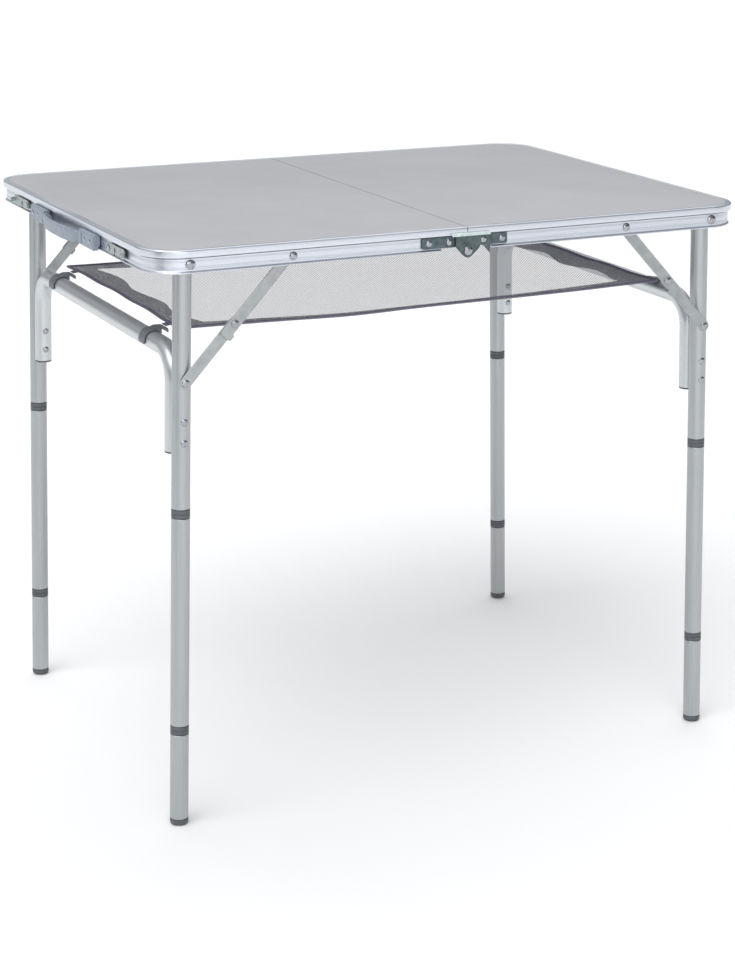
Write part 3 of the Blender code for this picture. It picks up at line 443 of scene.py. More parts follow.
def set_rivet(name, x, facing, inner, shank, head_radius, spacer_to):
    """A rivet through the rim, along Y: outer dome, shank, flat inner head and spacer tube."""
    out = (0, facing, 0)
    wall = (x, facing * WALL_Y, PIVOT_Z)
    face = (x, facing * (WALL_Y - BACK_STEP), PIVOT_Z)
    end = (x, facing * (inner + BACK_STEP), PIVOT_Z)
    head = [(0, head_radius * 0.9), (-0.0007, head_radius * 0.9), (-BACK_STEP, head_radius * 0.7)]
    return [
        turned(name + "_dome", dome_profile(0, 0.0021, head_radius), wall, out),
        rod(name + "_shank", 0.0005, inner - WALL_Y, shank, wall, out, 20),
        turned(name + "_inner", head, end, out, 24),
        rod(name + "_spacer", 0, spacer_to - WALL_Y, head_radius + 0.0004, face, out),
    ]


def plated_steel():
    """Zinc-plated steel, burnished bright by the rivet tool, with faint dark handling marks."""
    surface, tree, shader, place = new_surface("burnished_rivet_steel")
    marks = mottle(tree, place, (700, 700, 700), 3, 0.0, 1.0)
    feed(tree, shade_between(tree, marks, "83868B", "BFC2C6"), shader, "Base Color")
    feed(tree, mottle(tree, place, (500, 500, 500), 2, 0.14, 0.26), shader, "Roughness")
    fill(shader, Metallic=1.0)
    return surface


rivet_steel = plated_steel()
for side_name, side in SIDES.items():
    pivot_x = hinge_of[f"{side_name}_leg_fold"]["pos_m"][0]
    brace_x = hinge_of[f"brace_upper_{side_name}_front_turn"]["pos_m"][0]
    rivets = []
    for end_name, facing in ENDS.items():
        label = f"{side_name}_{end_name}"
        leg_inner, leg_outer = LEG_Y - TUBE_RADIUS, LEG_Y + TUBE_RADIUS
        spacer_end = leg_outer + RUN + BACK_STEP
        rivets += set_rivet(f"pivot_{label}", pivot_x, facing, leg_inner - 0.0016, 0.003, 0.006, spacer_end)
        spacer_end = LINK_OUT + RUN + BACK_STEP
        rivets += set_rivet(f"stay_{label}", brace_x, facing, LINK_OUT - 0.0031, 0.0024, 0.005, spacer_end)
    joined = join_pieces(f"rim_rivets_{side_name}", rivets)
    finish_piece(joined, rivet_steel, f"{side_name}_half", "rivet")


# ------------------------------------------------------------------ seam hinges
# Stamped steel leaves with a dark grey-green chromate finish, two for each long side: one runs on
# over the seam with a stop flange bent out along its top, and a pin holds their round ears.
LEAF_THICK = 0.002
LEAF_OUT = WALL_Y + 0.0004
EAR_OUT = WALL_Y + LIP_OUT + RUN
HINGE_Z = hinge_of["centre_fold"]["pos_m"][2]
LEAF_LOW = NOTCH_TOP
LEAF_HIGH = GROOVE_Z - 0.0006
BACK_FROM, BACK_TO = -0.060, -0.013
EAR_FROM, EAR_TO = -0.0165, 0.0175
STOP_FROM, STOP_TO = -0.0225, 0.029
STOP_REACH = 0.0048
STOP_RISE = 0.0026
PLATE_END = 0.055
HEAD_SPOTS = {"left": (-0.0505, -0.0235), "right": (0.0225, 0.048)}
SEAM = np.array([SEAM_X, 0])


def inset_outline(outline, amount):
    """A closed outline moved inwards by amount, along the mean of each corner's two normals."""
    outline = np.asarray(outline, float)
    following = np.roll(outline, -1, 0)
    ahead = following - outline
    ahead /= np.linalg.norm(ahead, axis=1, keepdims=True)
    normal = np.stack([-ahead[:, 1], ahead[:, 0]], 1)
    mean = normal + np.roll(normal, 1, 0)
    mean /= np.maximum(np.einsum("ij,ij->i", mean, mean), 0.4)[:, None] / 2
    area = np.sum(outline[:, 0] * following[:, 1] - outline[:, 1] * following[:, 0])
    return outline + mean * amount * np.sign(area)


def plate_rings(outline, low, high, edge=0.00035, axis="y"):
    """A flat plate with eased edges: the outline at four levels, inset at the two faces.

    The outline's two numbers are (x, z) on a plate across Y, and (y, z) on one across X.
    """
    rings = []
    for level, inset in ((low, edge), (low + edge, 0), (high - edge, 0), (high, edge)):
        first, second = inset_outline(outline, inset).T
        depth = np.full(len(first), level)
        rings.append(np.column_stack((first, depth, second) if axis == "y" else (depth, first, second)))
    return rings


def rounded(corners, radius, steps=4):
    """A closed outline whose corners are cut by arcs, worked out as quadratic blends.

    Each corner becomes the curve from a point this far before it to one this far after it.
    """
    corners = np.asarray(corners, float)
    ends = []
    for neighbour in (np.roll(corners, 1, 0), np.roll(corners, -1, 0)):
        way = neighbour - corners
        length = np.linalg.norm(way, axis=1)[:, None]
        ends.append(corners + way / length * np.minimum(length * 0.48, radius))
    t = np.linspace(0, 1, steps + 1)[None, :, None]
    start, end = ends[0][:, None], ends[1][:, None]
    curve = (1 - t) ** 2 * start + 2 * t * (1 - t) * corners[:, None] + t**2 * end
    return curve.reshape(-1, 2)


def span(facing, near, far):
    """The y values of two distances from the middle, low first."""
    return sorted((facing * near, facing * far))


def chromated_steel():
    """Stamped steel with a dark grey-green chromate: dull and cloudy. The pale stop flange along its top is
    a painted highlight, in a material of its own.
    """
    surface, tree, shader, place = new_surface("chromated_steel")
    clouds = mottle(tree, place, (160, 160, 160), 5, 0.0, 1.0)
    feed(tree, shade_between(tree, clouds, "4B585A", "6A7677"), shader, "Base Color")
    feed(tree, mottle(tree, place, (260, 260, 260), 4, 0.30, 0.48), shader, "Roughness")
    fill(shader, Metallic=0.75)
    grain = mottle(tree, place, (1500, 1500, 1500), 2, 0.0, 1.0)
    add_bump(tree, shader, (grain, "Result"), 0.00002, 0.5)
    return surface


def rubbed_steel():
    """The same chromated steel painted bright, faintly green and satin: a painted highlight on the stop
    flange, whose top faces the light.
    """
    surface, tree, shader, place = new_surface("rubbed_steel")
    clouds = mottle(tree, place, (220, 220, 220), 4, 0.0, 1.0)
    feed(tree, shade_between(tree, clouds, "B9CCC9", "E4EFEC"), shader, "Base Color")
    fill(shader, Metallic=0.35, Roughness=0.32)
    return surface


def passivated_steel():
    """Zinc-plated sheet with a greenish passivation, cloudy and half dull."""
    surface, tree, shader, place = new_surface("passivated_steel")
    clouds = mottle(tree, place, (240, 240, 240), 4, 0.0, 1.0)
    feed(tree, shade_between(tree, clouds, "8C9694", "B4BCBB"), shader, "Base Color")
    fill(shader, Metallic=0.85, Roughness=0.36)
    return surface


def left_leaf_parts(facing, leaf_span):
    """The left leaf's three plates: the back, the ear over the seam, and the joggle between."""
    ear = [
        (EAR_FROM, LEAF_HIGH),
        (EAR_FROM, LEAF_LOW + 0.0005),
        (-0.0050, HINGE_Z - 0.0072),
        (0.0, HINGE_Z - 0.0088),
        (0.0050, HINGE_Z - 0.0072),
        (EAR_TO, LEAF_LOW + 0.001),
        (EAR_TO, LEAF_HIGH),
    ]
    back = rounded(rectangle(BACK_FROM, BACK_TO, LEAF_LOW, LEAF_HIGH), 0.003)
    step = rectangle(EAR_FROM, BACK_TO, LEAF_LOW + 0.0004, LEAF_HIGH - 0.0004)
    ear_span = span(facing, EAR_OUT, EAR_OUT + LEAF_THICK)
    step_span = span(facing, LEAF_OUT + 0.0002, EAR_OUT + LEAF_THICK - 0.0002)
    return [
        add_piece("back_plate", plate_rings(back + SEAM, *leaf_span)),
        add_piece("ear_plate", plate_rings(rounded(ear, 0.004) + SEAM, *ear_span)),
        add_piece("joggle", plate_rings(step + SEAM, *step_span)),
    ]


def stop_flange(facing):
    """The stop flange along the ear's top, which rises towards the wall."""
    flange = rectangle(STOP_FROM, STOP_TO, LEAF_HIGH - 0.0002, LEAF_HIGH + 0.0012)
    reach = EAR_OUT + STOP_REACH
    stop_span = span(facing, EAR_OUT + 0.0002, reach)
    rings = np.array(plate_rings(rounded(flange, 0.0003, 2) + SEAM, *stop_span))
    rings[..., 2] += STOP_RISE * (reach - np.abs(rings[..., 1])) / (STOP_REACH - 0.0002)
    return rings


def right_leaf_outline():
    """(x, z) of the right leaf: a plate that ends in a round ear about the pin."""
    outline = [
        (0.0205, LEAF_HIGH),
        (0.002, LEAF_LOW + 0.0035),
        *round_arc((0, HINGE_Z), 0.0078, 150, 320, 22),
        (0.019, LEAF_LOW),
        (PLATE_END - 0.0015, LEAF_LOW),
        (PLATE_END, LEAF_LOW + 0.0015),
        (PLATE_END, LEAF_HIGH - 0.0015),
        (PLATE_END - 0.0015, LEAF_HIGH),
    ]
    return np.array(outline) + SEAM


hinge_steel = chromated_steel()
# The stop flange gets a pale copy of the hinge steel, as a painted highlight on its upward face.
flange_steel = rubbed_steel()
latch_steel = passivated_steel()
for end_name, facing in ENDS.items():
    out = (0, facing, 0)
    leaf_span = span(facing, LEAF_OUT, LEAF_OUT + LEAF_THICK)
    parts = left_leaf_parts(facing, leaf_span)
    stop = add_piece(f"hinge_stop_{end_name}", stop_flange(facing))
    finish_piece(stop, flange_steel, "left_half", "hinge")
    leaf = join_pieces(f"hinge_plate_left_{end_name}", parts)
    finish_piece(leaf, hinge_steel, "left_half", "hinge", f"hinge_leaf_left_{end_name}")
    plate = add_piece(f"hinge_plate_right_{end_name}", plate_rings(right_leaf_outline(), *leaf_span))
    finish_piece(plate, hinge_steel, "right_half", "hinge", f"hinge_leaf_right_{end_name}")

    for side_name, spots in HEAD_SPOTS.items():
        heads = []
        for x in spots:
            base = (SEAM_X + x, facing * (LEAF_OUT + LEAF_THICK - 0.0002), (LEAF_LOW + LEAF_HIGH) / 2)
            heads.append(turned("head", dome_profile(0, 0.0017, 0.0042), base, out, 24))
        joined = join_pieces(f"hinge_rivets_{side_name}_{end_name}", heads)
        finish_piece(joined, rivet_steel, f"{side_name}_half", "rivet")

    pin_end = EAR_OUT + LEAF_THICK
    base = (SEAM_X, facing * pin_end, HINGE_Z)
    wall = WALL_Y - pin_end
    pin_parts = [
        turned("head", dome_profile(0.0003, 0.0018, 0.0056), base, out),
        rod("shank", 0.0006, wall - 0.001, 0.0032, base, out),
        rod("back_head", wall, wall - 0.0016, 0.0042, base, out),
    ]
    pin = join_pieces(f"hinge_rivet_{end_name}", pin_parts)
    finish_piece(pin, rivet_steel, "left_half", "rivet", f"hinge_pin_{end_name}")


# ------------------------------------------------------------------ leg frames
# Drawn aluminium tube, 22 mm across with a 1.2 mm wall, brushed and satin anodised. Each leg is
# three lengths plugged into dark nylon connectors; a bent cross tube joins the upper two.
TUBE_WALL = 0.0012
PLUG_RADIUS = TUBE_RADIUS - TUBE_WALL - RUN
TUBE_EASE = 0.0005
CROSS_BEND = 0.036
STUD_DROPS = (0.1878, 0.2128)
FOOT_TALL = 0.008
# How far up from the foot's bottom, and in from its side, each ring of its rounded edge lies.
FOOT_EDGE = ((0.0034, 0), (0.0020, 0.0004), (0.0010, 0.0012), (0.0004, 0.0024), (0.0001, 0.0040))


def along_leg(side_name):
    """The pivot point at the middle of a leg frame, and the unit vector down its legs."""
    pivot = np.array(hinge_of[f"{side_name}_leg_fold"]["pos_m"])
    down = np.array(hinge_of[f"leg_middle_{side_name}_front_pull"]["axis"])
    return pivot, down / np.linalg.norm(down)


def reach_along(node, pivot, down):
    """How far below the pivot, along the leg, a node starts and ends: its own points say it."""
    mesh = frame["nodes"][node].data
    points = np.zeros(len(mesh.vertices) * 3)
    mesh.vertices.foreach_get("co", points)
    along = (points.reshape(-1, 3) - pivot) @ down
    return along.min(), along.max()


def tube_rings(origin, down, top, bottom, sides=40):
    """A straight tube with eased ends, as one closed profile: outside down, then inside up."""
    bore = TUBE_RADIUS - TUBE_WALL
    profile = [
        (top, TUBE_RADIUS - TUBE_EASE),
        (top + TUBE_EASE, TUBE_RADIUS),
        (bottom - TUBE_EASE, TUBE_RADIUS),
        (bottom, TUBE_RADIUS - TUBE_EASE),
        (bottom, bore),
        (top, bore),
    ]
    return turned_rings(profile, origin, down, sides)


def brushed_tube(name, stretch, dark, light):
    """Brushed and anodised aluminium tube: fine streaks along the tube and a satin gloss."""
    surface, tree, shader, place = new_surface(name)
    streaks = mottle(tree, place, stretch, 3, 0.0, 1.0)
    feed(tree, shade_between(tree, streaks, dark, light), shader, "Base Color")
    feed(tree, mottle(tree, place, tuple(s * 0.6 for s in stretch), 3, 0.34, 0.46), shader, "Roughness")
    fill(shader, Metallic=1.0)
    add_bump(tree, shader, (streaks, "Result"), 0.00001, 0.15)
    return surface


def moulded_nylon(name, dark, light, rough=0.5):
    """Injection-moulded nylon: an even tone with a fine spark-eroded grain and a soft sheen."""
    surface, tree, shader, place = new_surface(name)
    tone = mottle(tree, place, (120, 120, 120), 3, 0.0, 1.0)
    feed(tree, shade_between(tree, tone, dark, light), shader, "Base Color")
    feed(tree, mottle(tree, place, (300, 300, 300), 3, rough - 0.06, rough + 0.06), shader, "Roughness")
    grain = mottle(tree, place, (1800, 1800, 1800), 2, 0.0, 1.0)
    add_bump(tree, shader, (grain, "Result"), 0.00003, 0.5)
    fill(shader, IOR=1.53)
    return surface


leg_metal = brushed_tube("brushed_leg_tube", (1500, 1500, 6), "ADB1B3", "B9BCBE")
# Painted light: the cross tubes get a paler copy of the leg tubes' aluminium, because they sit in the table
# top's shade.
cross_tube_painted_lighter = brushed_tube("brushed_cross_tube", (1500, 8, 1500), "C6CACC", "D8DBDD")
collar_nylon = moulded_nylon("dark_grey_nylon", "4E5255", "5E6266")


def collar_profile(top, bottom):
    """A collar between two lengths: a plug up, a ring with a fine groove at each edge, a plug."""
    ring_top, ring_bottom = top + 0.035, bottom - 0.028
    groove = TUBE_RADIUS - 0.0007
    return [
        (top, PLUG_RADIUS - 0.0012),
        (top + 0.003, PLUG_RADIUS),
        (ring_top, PLUG_RADIUS),
        (ring_top, groove),
        (ring_top + 0.0005, TUBE_RADIUS),
        (ring_top + 0.0046, TUBE_RADIUS),
        (ring_top + 0.0049, groove + 0.0002),
        (ring_top + 0.0053, groove + 0.0002),
        (ring_top + 0.0056, TUBE_RADIUS),
        (ring_bottom - 0.0005, TUBE_RADIUS),
        (ring_bottom, groove),
        (ring_bottom, PLUG_RADIUS),
        (bottom, PLUG_RADIUS),
    ]


def bent_path(half, level, drop, radius, steps=14):
    """(y, z) of the cross tube's centre line: up one side, round two bends, down the other."""
    bend = round_arc((half - radius, level - radius), radius, 0, 90, steps)
    side_points = np.vstack([[[half, drop]], bend])
    mirrored = side_points[::-1] * [-1, 1]
    return np.vstack([side_points, mirrored])


def pipe_rings(centres, normal, radius, sides=32):
    """Circles round each point of a flat path; normal is square to the path's plane."""
    across = np.cross(along_path(centres), normal)
    across /= np.linalg.norm(across, axis=1, keepdims=True)
    turn = np.linspace(0, 2 * math.pi, sides, endpoint=False)
    first = np.cos(turn)[None, :, None] * across[:, None, :]
    second = np.sin(turn)[None, :, None] * np.asarray(normal)[None, None, :]
    return centres[:, None, :] + radius * (first + second)


def upper_leg_rings(origin, down, bottom):
    """The upper length of a leg, whose top is cut round about the leg's pivot."""
    bore = TUBE_RADIUS - TUBE_WALL
    profile = [
        (0.0, TUBE_RADIUS),
        (bottom - TUBE_EASE, TUBE_RADIUS),
        (bottom, TUBE_RADIUS - TUBE_EASE),
        (bottom, bore),
        (0.0, bore),
    ]
    rings = turned_rings(profile, origin, down, 40)
    tops = [0, 4]
    sideways = (rings[tops] - origin) @ np.cross([0, 1, 0], down)
    lift = np.sqrt(np.maximum((TUBE_RADIUS + 0.0001) ** 2 - sideways**2, 0))
    rings[tops] -= lift[..., None] * down
    return rings


def plug_profile(top, end):
    """An end plug: its shank in the tube, and a cap with a rounded edge on the tube's end."""
    cap = end - 0.0022
    return [
        (top, PLUG_RADIUS - 0.0006),
        (cap, PLUG_RADIUS - 0.0002),
        (cap, TUBE_RADIUS - 0.0004),
        (end - 0.0014, TUBE_RADIUS),
        (end - 0.0004, TUBE_RADIUS - 0.0006),
        (end, TUBE_RADIUS - 0.002),
    ]


def foot_rings(origin, down, top, tube_end):
    """A foot: its plug in the tube, and a cap with a rounded edge that stands on the floor."""
    profile = [
        (top, PLUG_RADIUS),
        (tube_end + RUN, PLUG_RADIUS),
        (tube_end + RUN, TUBE_RADIUS - 0.0006),
        (tube_end + 0.0009, TUBE_RADIUS),
    ]
    profile += [(tube_end + FOOT_TALL - rise, TUBE_RADIUS - inner) for rise, inner in FOOT_EDGE]
    rings = turned_rings(profile, origin, down, 40)
    rings[-1, :, 2] = 0.0
    rings[-2, :, 2] = 0.0007
    return rings


for side_name, side in SIDES.items():
    pivot, down = along_leg(side_name)
    body = f"{side_name}_legs"
    across_plane = np.cross(down, [0, 1, 0])
    cross_top, cross_end = reach_along(f"cross_tube_{side_name}", pivot, down)
    cross_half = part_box(f"cross_tube_{side_name}")[1].y - TUBE_RADIUS
    path = bent_path(cross_half, -cross_top - TUBE_RADIUS, -cross_end, CROSS_BEND)
    line = pivot + path[:, :1] * np.array([0, 1, 0]) - path[:, 1:] * down
    outer = pipe_rings(line, across_plane, TUBE_RADIUS)
    inner = pipe_rings(line, across_plane, TUBE_RADIUS - TUBE_WALL)
    cross = add_piece(f"cross_bar_{side_name}", np.concatenate([outer, inner[::-1]]), closed=True)
    finish_piece(cross, cross_tube_painted_lighter, body, "tube", f"cross_tube_{side_name}")

    studs = []
    for end_name, facing in ENDS.items():
        label = f"{side_name}_{end_name}"
        origin = pivot + [0, facing * LEG_Y, 0]
        _, bottom = reach_along(f"leg_tube_upper_{label}", pivot, down)
        upper = add_piece(f"leg_upper_{label}", upper_leg_rings(origin, down, bottom), closed=True)
        finish_piece(upper, leg_metal, body, "tube", f"leg_tube_upper_{label}")

        seat = TUBE_RADIUS - 0.0003
        for drop in STUD_DROPS:
            base = origin + drop * down
            inside = base - [0, facing * (LEG_Y - cross_half), 0]
            studs.append(turned("stud", dome_profile(seat, 0.0014, 0.0046), base, (0, facing, 0), 24))
            studs.append(turned("stud", dome_profile(seat, 0.0014, 0.0042), inside, (0, -facing, 0), 24))

        plug = plug_profile(*reach_along(f"cross_plug_{label}", pivot, down))
        end_plug = turned(f"cross_bar_plug_{label}", plug, pivot + [0, facing * cross_half, 0], down)
        finish_piece(end_plug, collar_nylon, body, "collar", f"cross_plug_{label}")

        for level, part_body in (("upper", f"leg_middle_{label}"), ("lower", f"leg_lower_{label}")):
            node = f"leg_connector_{level}_{label}"
            rings = turned_rings(collar_profile(*reach_along(node, pivot, down)), origin, down, 40)
            collar = add_piece(f"leg_collar_{level}_{label}", rings)
            finish_piece(collar, collar_nylon, part_body, "collar", node)
        for level, part_body in (("middle", f"leg_middle_{label}"), ("lower", f"leg_lower_{label}")):
            node = f"leg_tube_{level}_{label}"
            rings = tube_rings(origin, down, *reach_along(node, pivot, down))
            length = add_piece(f"leg_length_{level}_{label}", rings, closed=True)
            finish_piece(length, leg_metal, part_body, "tube", node)

        foot_top, _ = reach_along(f"foot_{label}", pivot, down)
        _, tube_end = reach_along(f"leg_tube_lower_{label}", pivot, down)
        foot = add_piece(f"leg_foot_{label}", foot_rings(origin, down, foot_top, tube_end))
        finish_piece(foot, collar_nylon, f"leg_lower_{label}", "collar", f"foot_{label}")
    stud_piece = join_pieces(f"leg_rivets_{side_name}", studs)
    finish_piece(stud_piece, rivet_steel, body, "rivet")


# ------------------------------------------------------------------ braces
# Two straps of galvanised steel on each leg, with rolled edges and round ends, riveted at their
# elbow. The upper strap runs on past the elbow to a folded stop that holds them in one line.
STRAP_HALF = 0.007
STRAP_EDGE = 0.0005
STRAP_THICK = 0.0018
ELBOW_OVERRUN = 0.020
FOLD_OUT = -STRAP_HALF - 0.0022
LEG_RIVET_DROP = 0.1404
PIN_RADIUS = 0.0046


def strap_outline(length, overrun):
    """(along, across) of a strap: a half circle at its start, and one or a square end after."""
    start = round_arc((0, 0), STRAP_HALF, 90, 270, 14)
    if overrun:
        corner = 0.0015
        end = np.vstack([
            round_arc((length + overrun - corner, -STRAP_HALF + corner), corner, -90, 0, 3),
            round_arc((length + overrun - corner, STRAP_HALF - corner), corner, 0, 90, 3),
        ])
    else:
        end = round_arc((length, 0), STRAP_HALF, -90, 90, 14)
    return np.vstack([start, end])


def galvanised_steel():
    """Galvanised strip: pale grey with a soft zinc cloud, matter than the anodised tubes."""
    surface, tree, shader, place = new_surface("galvanised_strip")
    clouds = mottle(tree, place, (90, 90, 90), 5, 0.0, 1.0)
    feed(tree, shade_between(tree, clouds, "A5A9AB", "B7BABB"), shader, "Base Color")
    feed(tree, mottle(tree, place, (140, 140, 140), 4, 0.42, 0.56), shader, "Roughness")
    fill(shader, Metallic=0.85)
    grain = mottle(tree, place, (1200, 1200, 1200), 2, 0.0, 1.0)
    add_bump(tree, shader, (grain, "Result"), 0.00001, 0.5)
    return surface


strap_steel = galvanised_steel()
for side_name, side in SIDES.items():
    for end_name, facing in ENDS.items():
        label = f"{side_name}_{end_name}"
        first = np.array(hinge_of[f"brace_upper_{label}_turn"]["pos_m"])[[0, 2]]
        elbow = np.array(hinge_of[f"brace_lower_{label}_turn"]["pos_m"])[[0, 2]]
        upper_length = np.linalg.norm(elbow - first)
        run = (elbow - first) / upper_length
        inward = np.array([run[1], -run[0]]) * side
        frame_2d = np.array([run, -inward])
        upper_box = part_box(f"brace_upper_{label}")
        near, far = sorted((abs(upper_box[0].y), abs(upper_box[1].y)))
        reach = upper_length + ELBOW_OVERRUN
        outline = strap_outline(upper_length, ELBOW_OVERRUN) @ frame_2d + first
        upper_span = span(facing, far - STRAP_THICK, far)
        parts = [add_piece("strap", plate_rings(outline, *upper_span, STRAP_EDGE))]
        folds = (
            ((FOLD_OUT, -STRAP_HALF + 0.0006), (far - STRAP_THICK, far)),
            ((FOLD_OUT, -STRAP_HALF - 0.0004), (near, far - 0.0004)),
        )
        for lateral, depth in folds:
            tab = rectangle(reach - 0.009, reach - 0.001, *lateral) @ frame_2d + first
            parts.append(add_piece("tab", plate_rings(tab, *span(facing, *depth), 0.0002)))
        strap = join_pieces(f"stay_upper_{label}", parts)
        finish_piece(strap, strap_steel, f"brace_upper_{label}", "brace", f"brace_upper_{label}")

        lower_far = near + STRAP_THICK
        leg_pivot, down = along_leg(side_name)
        foot_end = (leg_pivot + LEG_RIVET_DROP * down)[[0, 2]]
        outline = strap_outline(np.linalg.norm(foot_end - elbow), 0) @ frame_2d + elbow
        lower_span = span(facing, near, lower_far)
        strap = add_piece(f"stay_lower_{label}", plate_rings(outline, *lower_span, STRAP_EDGE))
        finish_piece(strap, strap_steel, f"brace_lower_{label}", "brace", f"brace_lower_{label}")

        at_elbow = (elbow[0], 0, elbow[1])
        at_leg = (foot_end[0], 0, foot_end[1])
        out = (0, facing, 0)
        pins = [
            rod("spacer", lower_far - 0.0006, far - STRAP_THICK - RUN, PIN_RADIUS, at_elbow, out),
            rod("shank", lower_far - 0.0006, far + RUN + 0.0006, 0.0024, at_elbow, out, 20),
            turned("head", dome_profile(far + RUN, 0.0016, PIN_RADIUS), at_elbow, out, 28),
            rod("spacer", LEG_Y + TUBE_RADIUS + RUN, near + 0.0006, PIN_RADIUS, at_leg, out),
            turned("head", dome_profile(lower_far - 0.0003, 0.0016, PIN_RADIUS), at_leg, out, 28),
        ]
        pin_piece = join_pieces(f"stay_rivets_{label}", pins)
        finish_piece(pin_piece, rivet_steel, f"brace_lower_{label}", "rivet")


# ------------------------------------------------------------------ net shelf
# A warp-knitted polyester net with diamond meshes, bound all round with a heathered grey knit
# and an overlocked purple-grey edge. It hangs from hooks at its corners, so it sags in between.
NET_HALF_X = (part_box("net_shelf")[1].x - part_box("net_shelf")[0].x) / 2
NET_HALF_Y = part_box("net_shelf")[1].y
NET_EDGE_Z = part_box("net_shelf")[1].z + 0.0016
NET_SAG = 0.020
NET_BORDER = 0.036
NET_MESH = 0.0036
FOLD_START = 0.19
HEM_RADIUS = 0.0016
LUG_HALF = 0.0065
LUG_THICK = 0.001


def net_height(along, across):
    """Height of the net: a shallow dish, deepest in the middle, with small pulls at its corners.

    along and across run from -1 to 1. The dish is a product of two parabolas, and the pulls are
    ripples that fade away from the ends.
    """
    dish = (1 - along**2) * (0.15 + 0.85 * (1 - across**2))
    near_end = np.clip((np.abs(along) - 0.55) / 0.45, 0, 1) ** 2
    ripple = 0.0016 * np.sin(across * 11) * near_end * (1 - near_end * 0.6)
    slack = 0.0020 * np.exp(-(((along + 0.33) / 0.22) ** 2)) * across**2
    return NET_EDGE_Z + 0.0012 - NET_SAG * dish + ripple - slack


def net_end_reach(across):
    """How far the net's ends draw in between the hooks, as a shallow curve."""
    return 1 - 0.012 * (1 - across**2)


def net_grid(start, end, columns, rows):
    """Points and (x, y) of one stretch of the net, from start to end along X, as a grid."""
    x = np.linspace(start, end, columns)[:, None]
    v = np.linspace(-1, 1, rows)[None, :]
    u = x / NET_HALF_X * np.ones_like(v)
    v = v * np.ones_like(u)
    px = u * NET_HALF_X * net_end_reach(v) ** (np.abs(u) ** 6)
    py = v * NET_HALF_Y * (1 - 0.010 * np.cos(u * math.pi / 2))
    points = np.stack([px + SEAM_X, py, net_height(u, v)], -1)
    return points, np.stack([u * NET_HALF_X, v * NET_HALF_Y], -1)


def add_cloth(name, points, places):
    """A single-layer sheet from a grid of points, with its flat place in metres as its UV map."""
    columns, rows = points.shape[:2]
    index = np.arange(columns * rows).reshape(columns, rows)
    quads = np.stack([index[:-1, :-1], index[1:, :-1], index[1:, 1:], index[:-1, 1:]], -1).reshape(-1, 4)
    mesh = bpy.data.meshes.new(name)
    mesh.from_pydata(points.reshape(-1, 3).tolist(), [], quads.tolist())
    layer = mesh.uv_layers.new(name="cut")
    loop_points = np.zeros(len(mesh.loops), int)
    mesh.loops.foreach_get("vertex_index", loop_points)
    layer.data.foreach_set("uv", places.reshape(-1, 2)[loop_points].ravel())
    mesh.shade_smooth()
    cloth = bpy.data.objects.new(name, mesh)
    bpy.context.collection.objects.link(cloth)
    return cloth


def knitted_net():
    """Warp-knitted polyester net: pale grey yarn in diamonds, see-through, with a dull sheen.

    Inside the border's width the yarn gives way to a dense heathered knit, and the last few
    millimetres are the purple-grey overlock.
    """
    surface, tree, shader, place = new_surface("warp_knitted_polyester")
    apart = add_node(tree, "SeparateXYZ", i0=(place, "UV"))
    x, y = (apart, "X"), (apart, "Y")
    diagonal = 1 / (NET_MESH * math.sqrt(2))
    threads = []
    for join, width in (("ADD", 0.17), ("SUBTRACT", 0.36)):
        slanted = maths(tree, "MULTIPLY", maths(tree, join, x, y), diagonal)
        threads.append(maths(tree, "LESS_THAN", maths(tree, "FRACT", slanted), width))
    yarn = maths(tree, "MAXIMUM", *threads)
    to_end = maths(tree, "SUBTRACT", NET_HALF_X, maths(tree, "ABSOLUTE", x))
    to_side = maths(tree, "SUBTRACT", NET_HALF_Y, maths(tree, "ABSOLUTE", y))
    scallop = maths(tree, "MULTIPLY", maths(tree, "SINE", maths(tree, "MULTIPLY", y, 44.0)), 0.006)
    to_end_wavy = maths(tree, "ADD", to_end, scallop)
    nearest = maths(tree, "MINIMUM", to_end_wavy, maths(tree, "MULTIPLY", to_side, 1.25))
    border = maths(tree, "LESS_THAN", nearest, NET_BORDER)
    overlock = maths(tree, "LESS_THAN", maths(tree, "MINIMUM", to_end, to_side), 0.005)
    heather = add_node(tree, "TexNoise", Vector=(place, "UV"), Scale=420.0, Detail=3.0)
    spread = add_node(tree, "MapRange", Value=(heather, "Fac"), From_Min=0.32, From_Max=0.68)
    knit = shade_between(tree, spread, "5D6069", "A9ABB1")
    net_and_border = mix_colours(tree, border, rgb("AEAEB2"), (knit, "Result"))
    bound = mix_colours(tree, overlock, (net_and_border, "Result"), rgb("68657C"))
    feed(tree, bound, shader, "Base Color")
    gaps = maths(tree, "GREATER_THAN", (spread, "Result"), 0.22)
    dense = maths(tree, "MULTIPLY", border, gaps)
    cover = maths(tree, "MAXIMUM", maths(tree, "MAXIMUM", yarn, dense), overlock)
    tree.links.new(cover[0].outputs[cover[1]], shader.inputs["Alpha"])
    fill(shader, Roughness=0.82, Sheen_Weight=0.15)
    add_bump(tree, shader, (spread, "Result"), 0.0002, 0.4)
    return surface


net_cloth = knitted_net()
STRETCHES = (
    ("left", -NET_HALF_X, -FOLD_START, "left_half", "left_legs", (-FOLD_START, -0.387)),
    ("middle", -FOLD_START, FOLD_START, "left_half", "right_half", (-FOLD_START, FOLD_START)),
    ("right", FOLD_START, NET_HALF_X, "right_half", "right_legs", (FOLD_START, 0.387)),
)


def hang_between(piece):
    """Bakes a piece of the net's placement into its points; the piece is bound to no body."""
    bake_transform(piece)


def hem_rings(line):
    """An eight-sided cord along one edge of the net."""
    upwards = np.array([0.0, 0.0, 1.0])
    across = np.cross(along_path(line), upwards)
    turn = np.linspace(0, 2 * math.pi, 8, endpoint=False)
    ring = np.cos(turn)[None, :, None] * across[:, None, :] + np.sin(turn)[None, :, None] * upwards
    return line[:, None, :] + HEM_RADIUS * ring


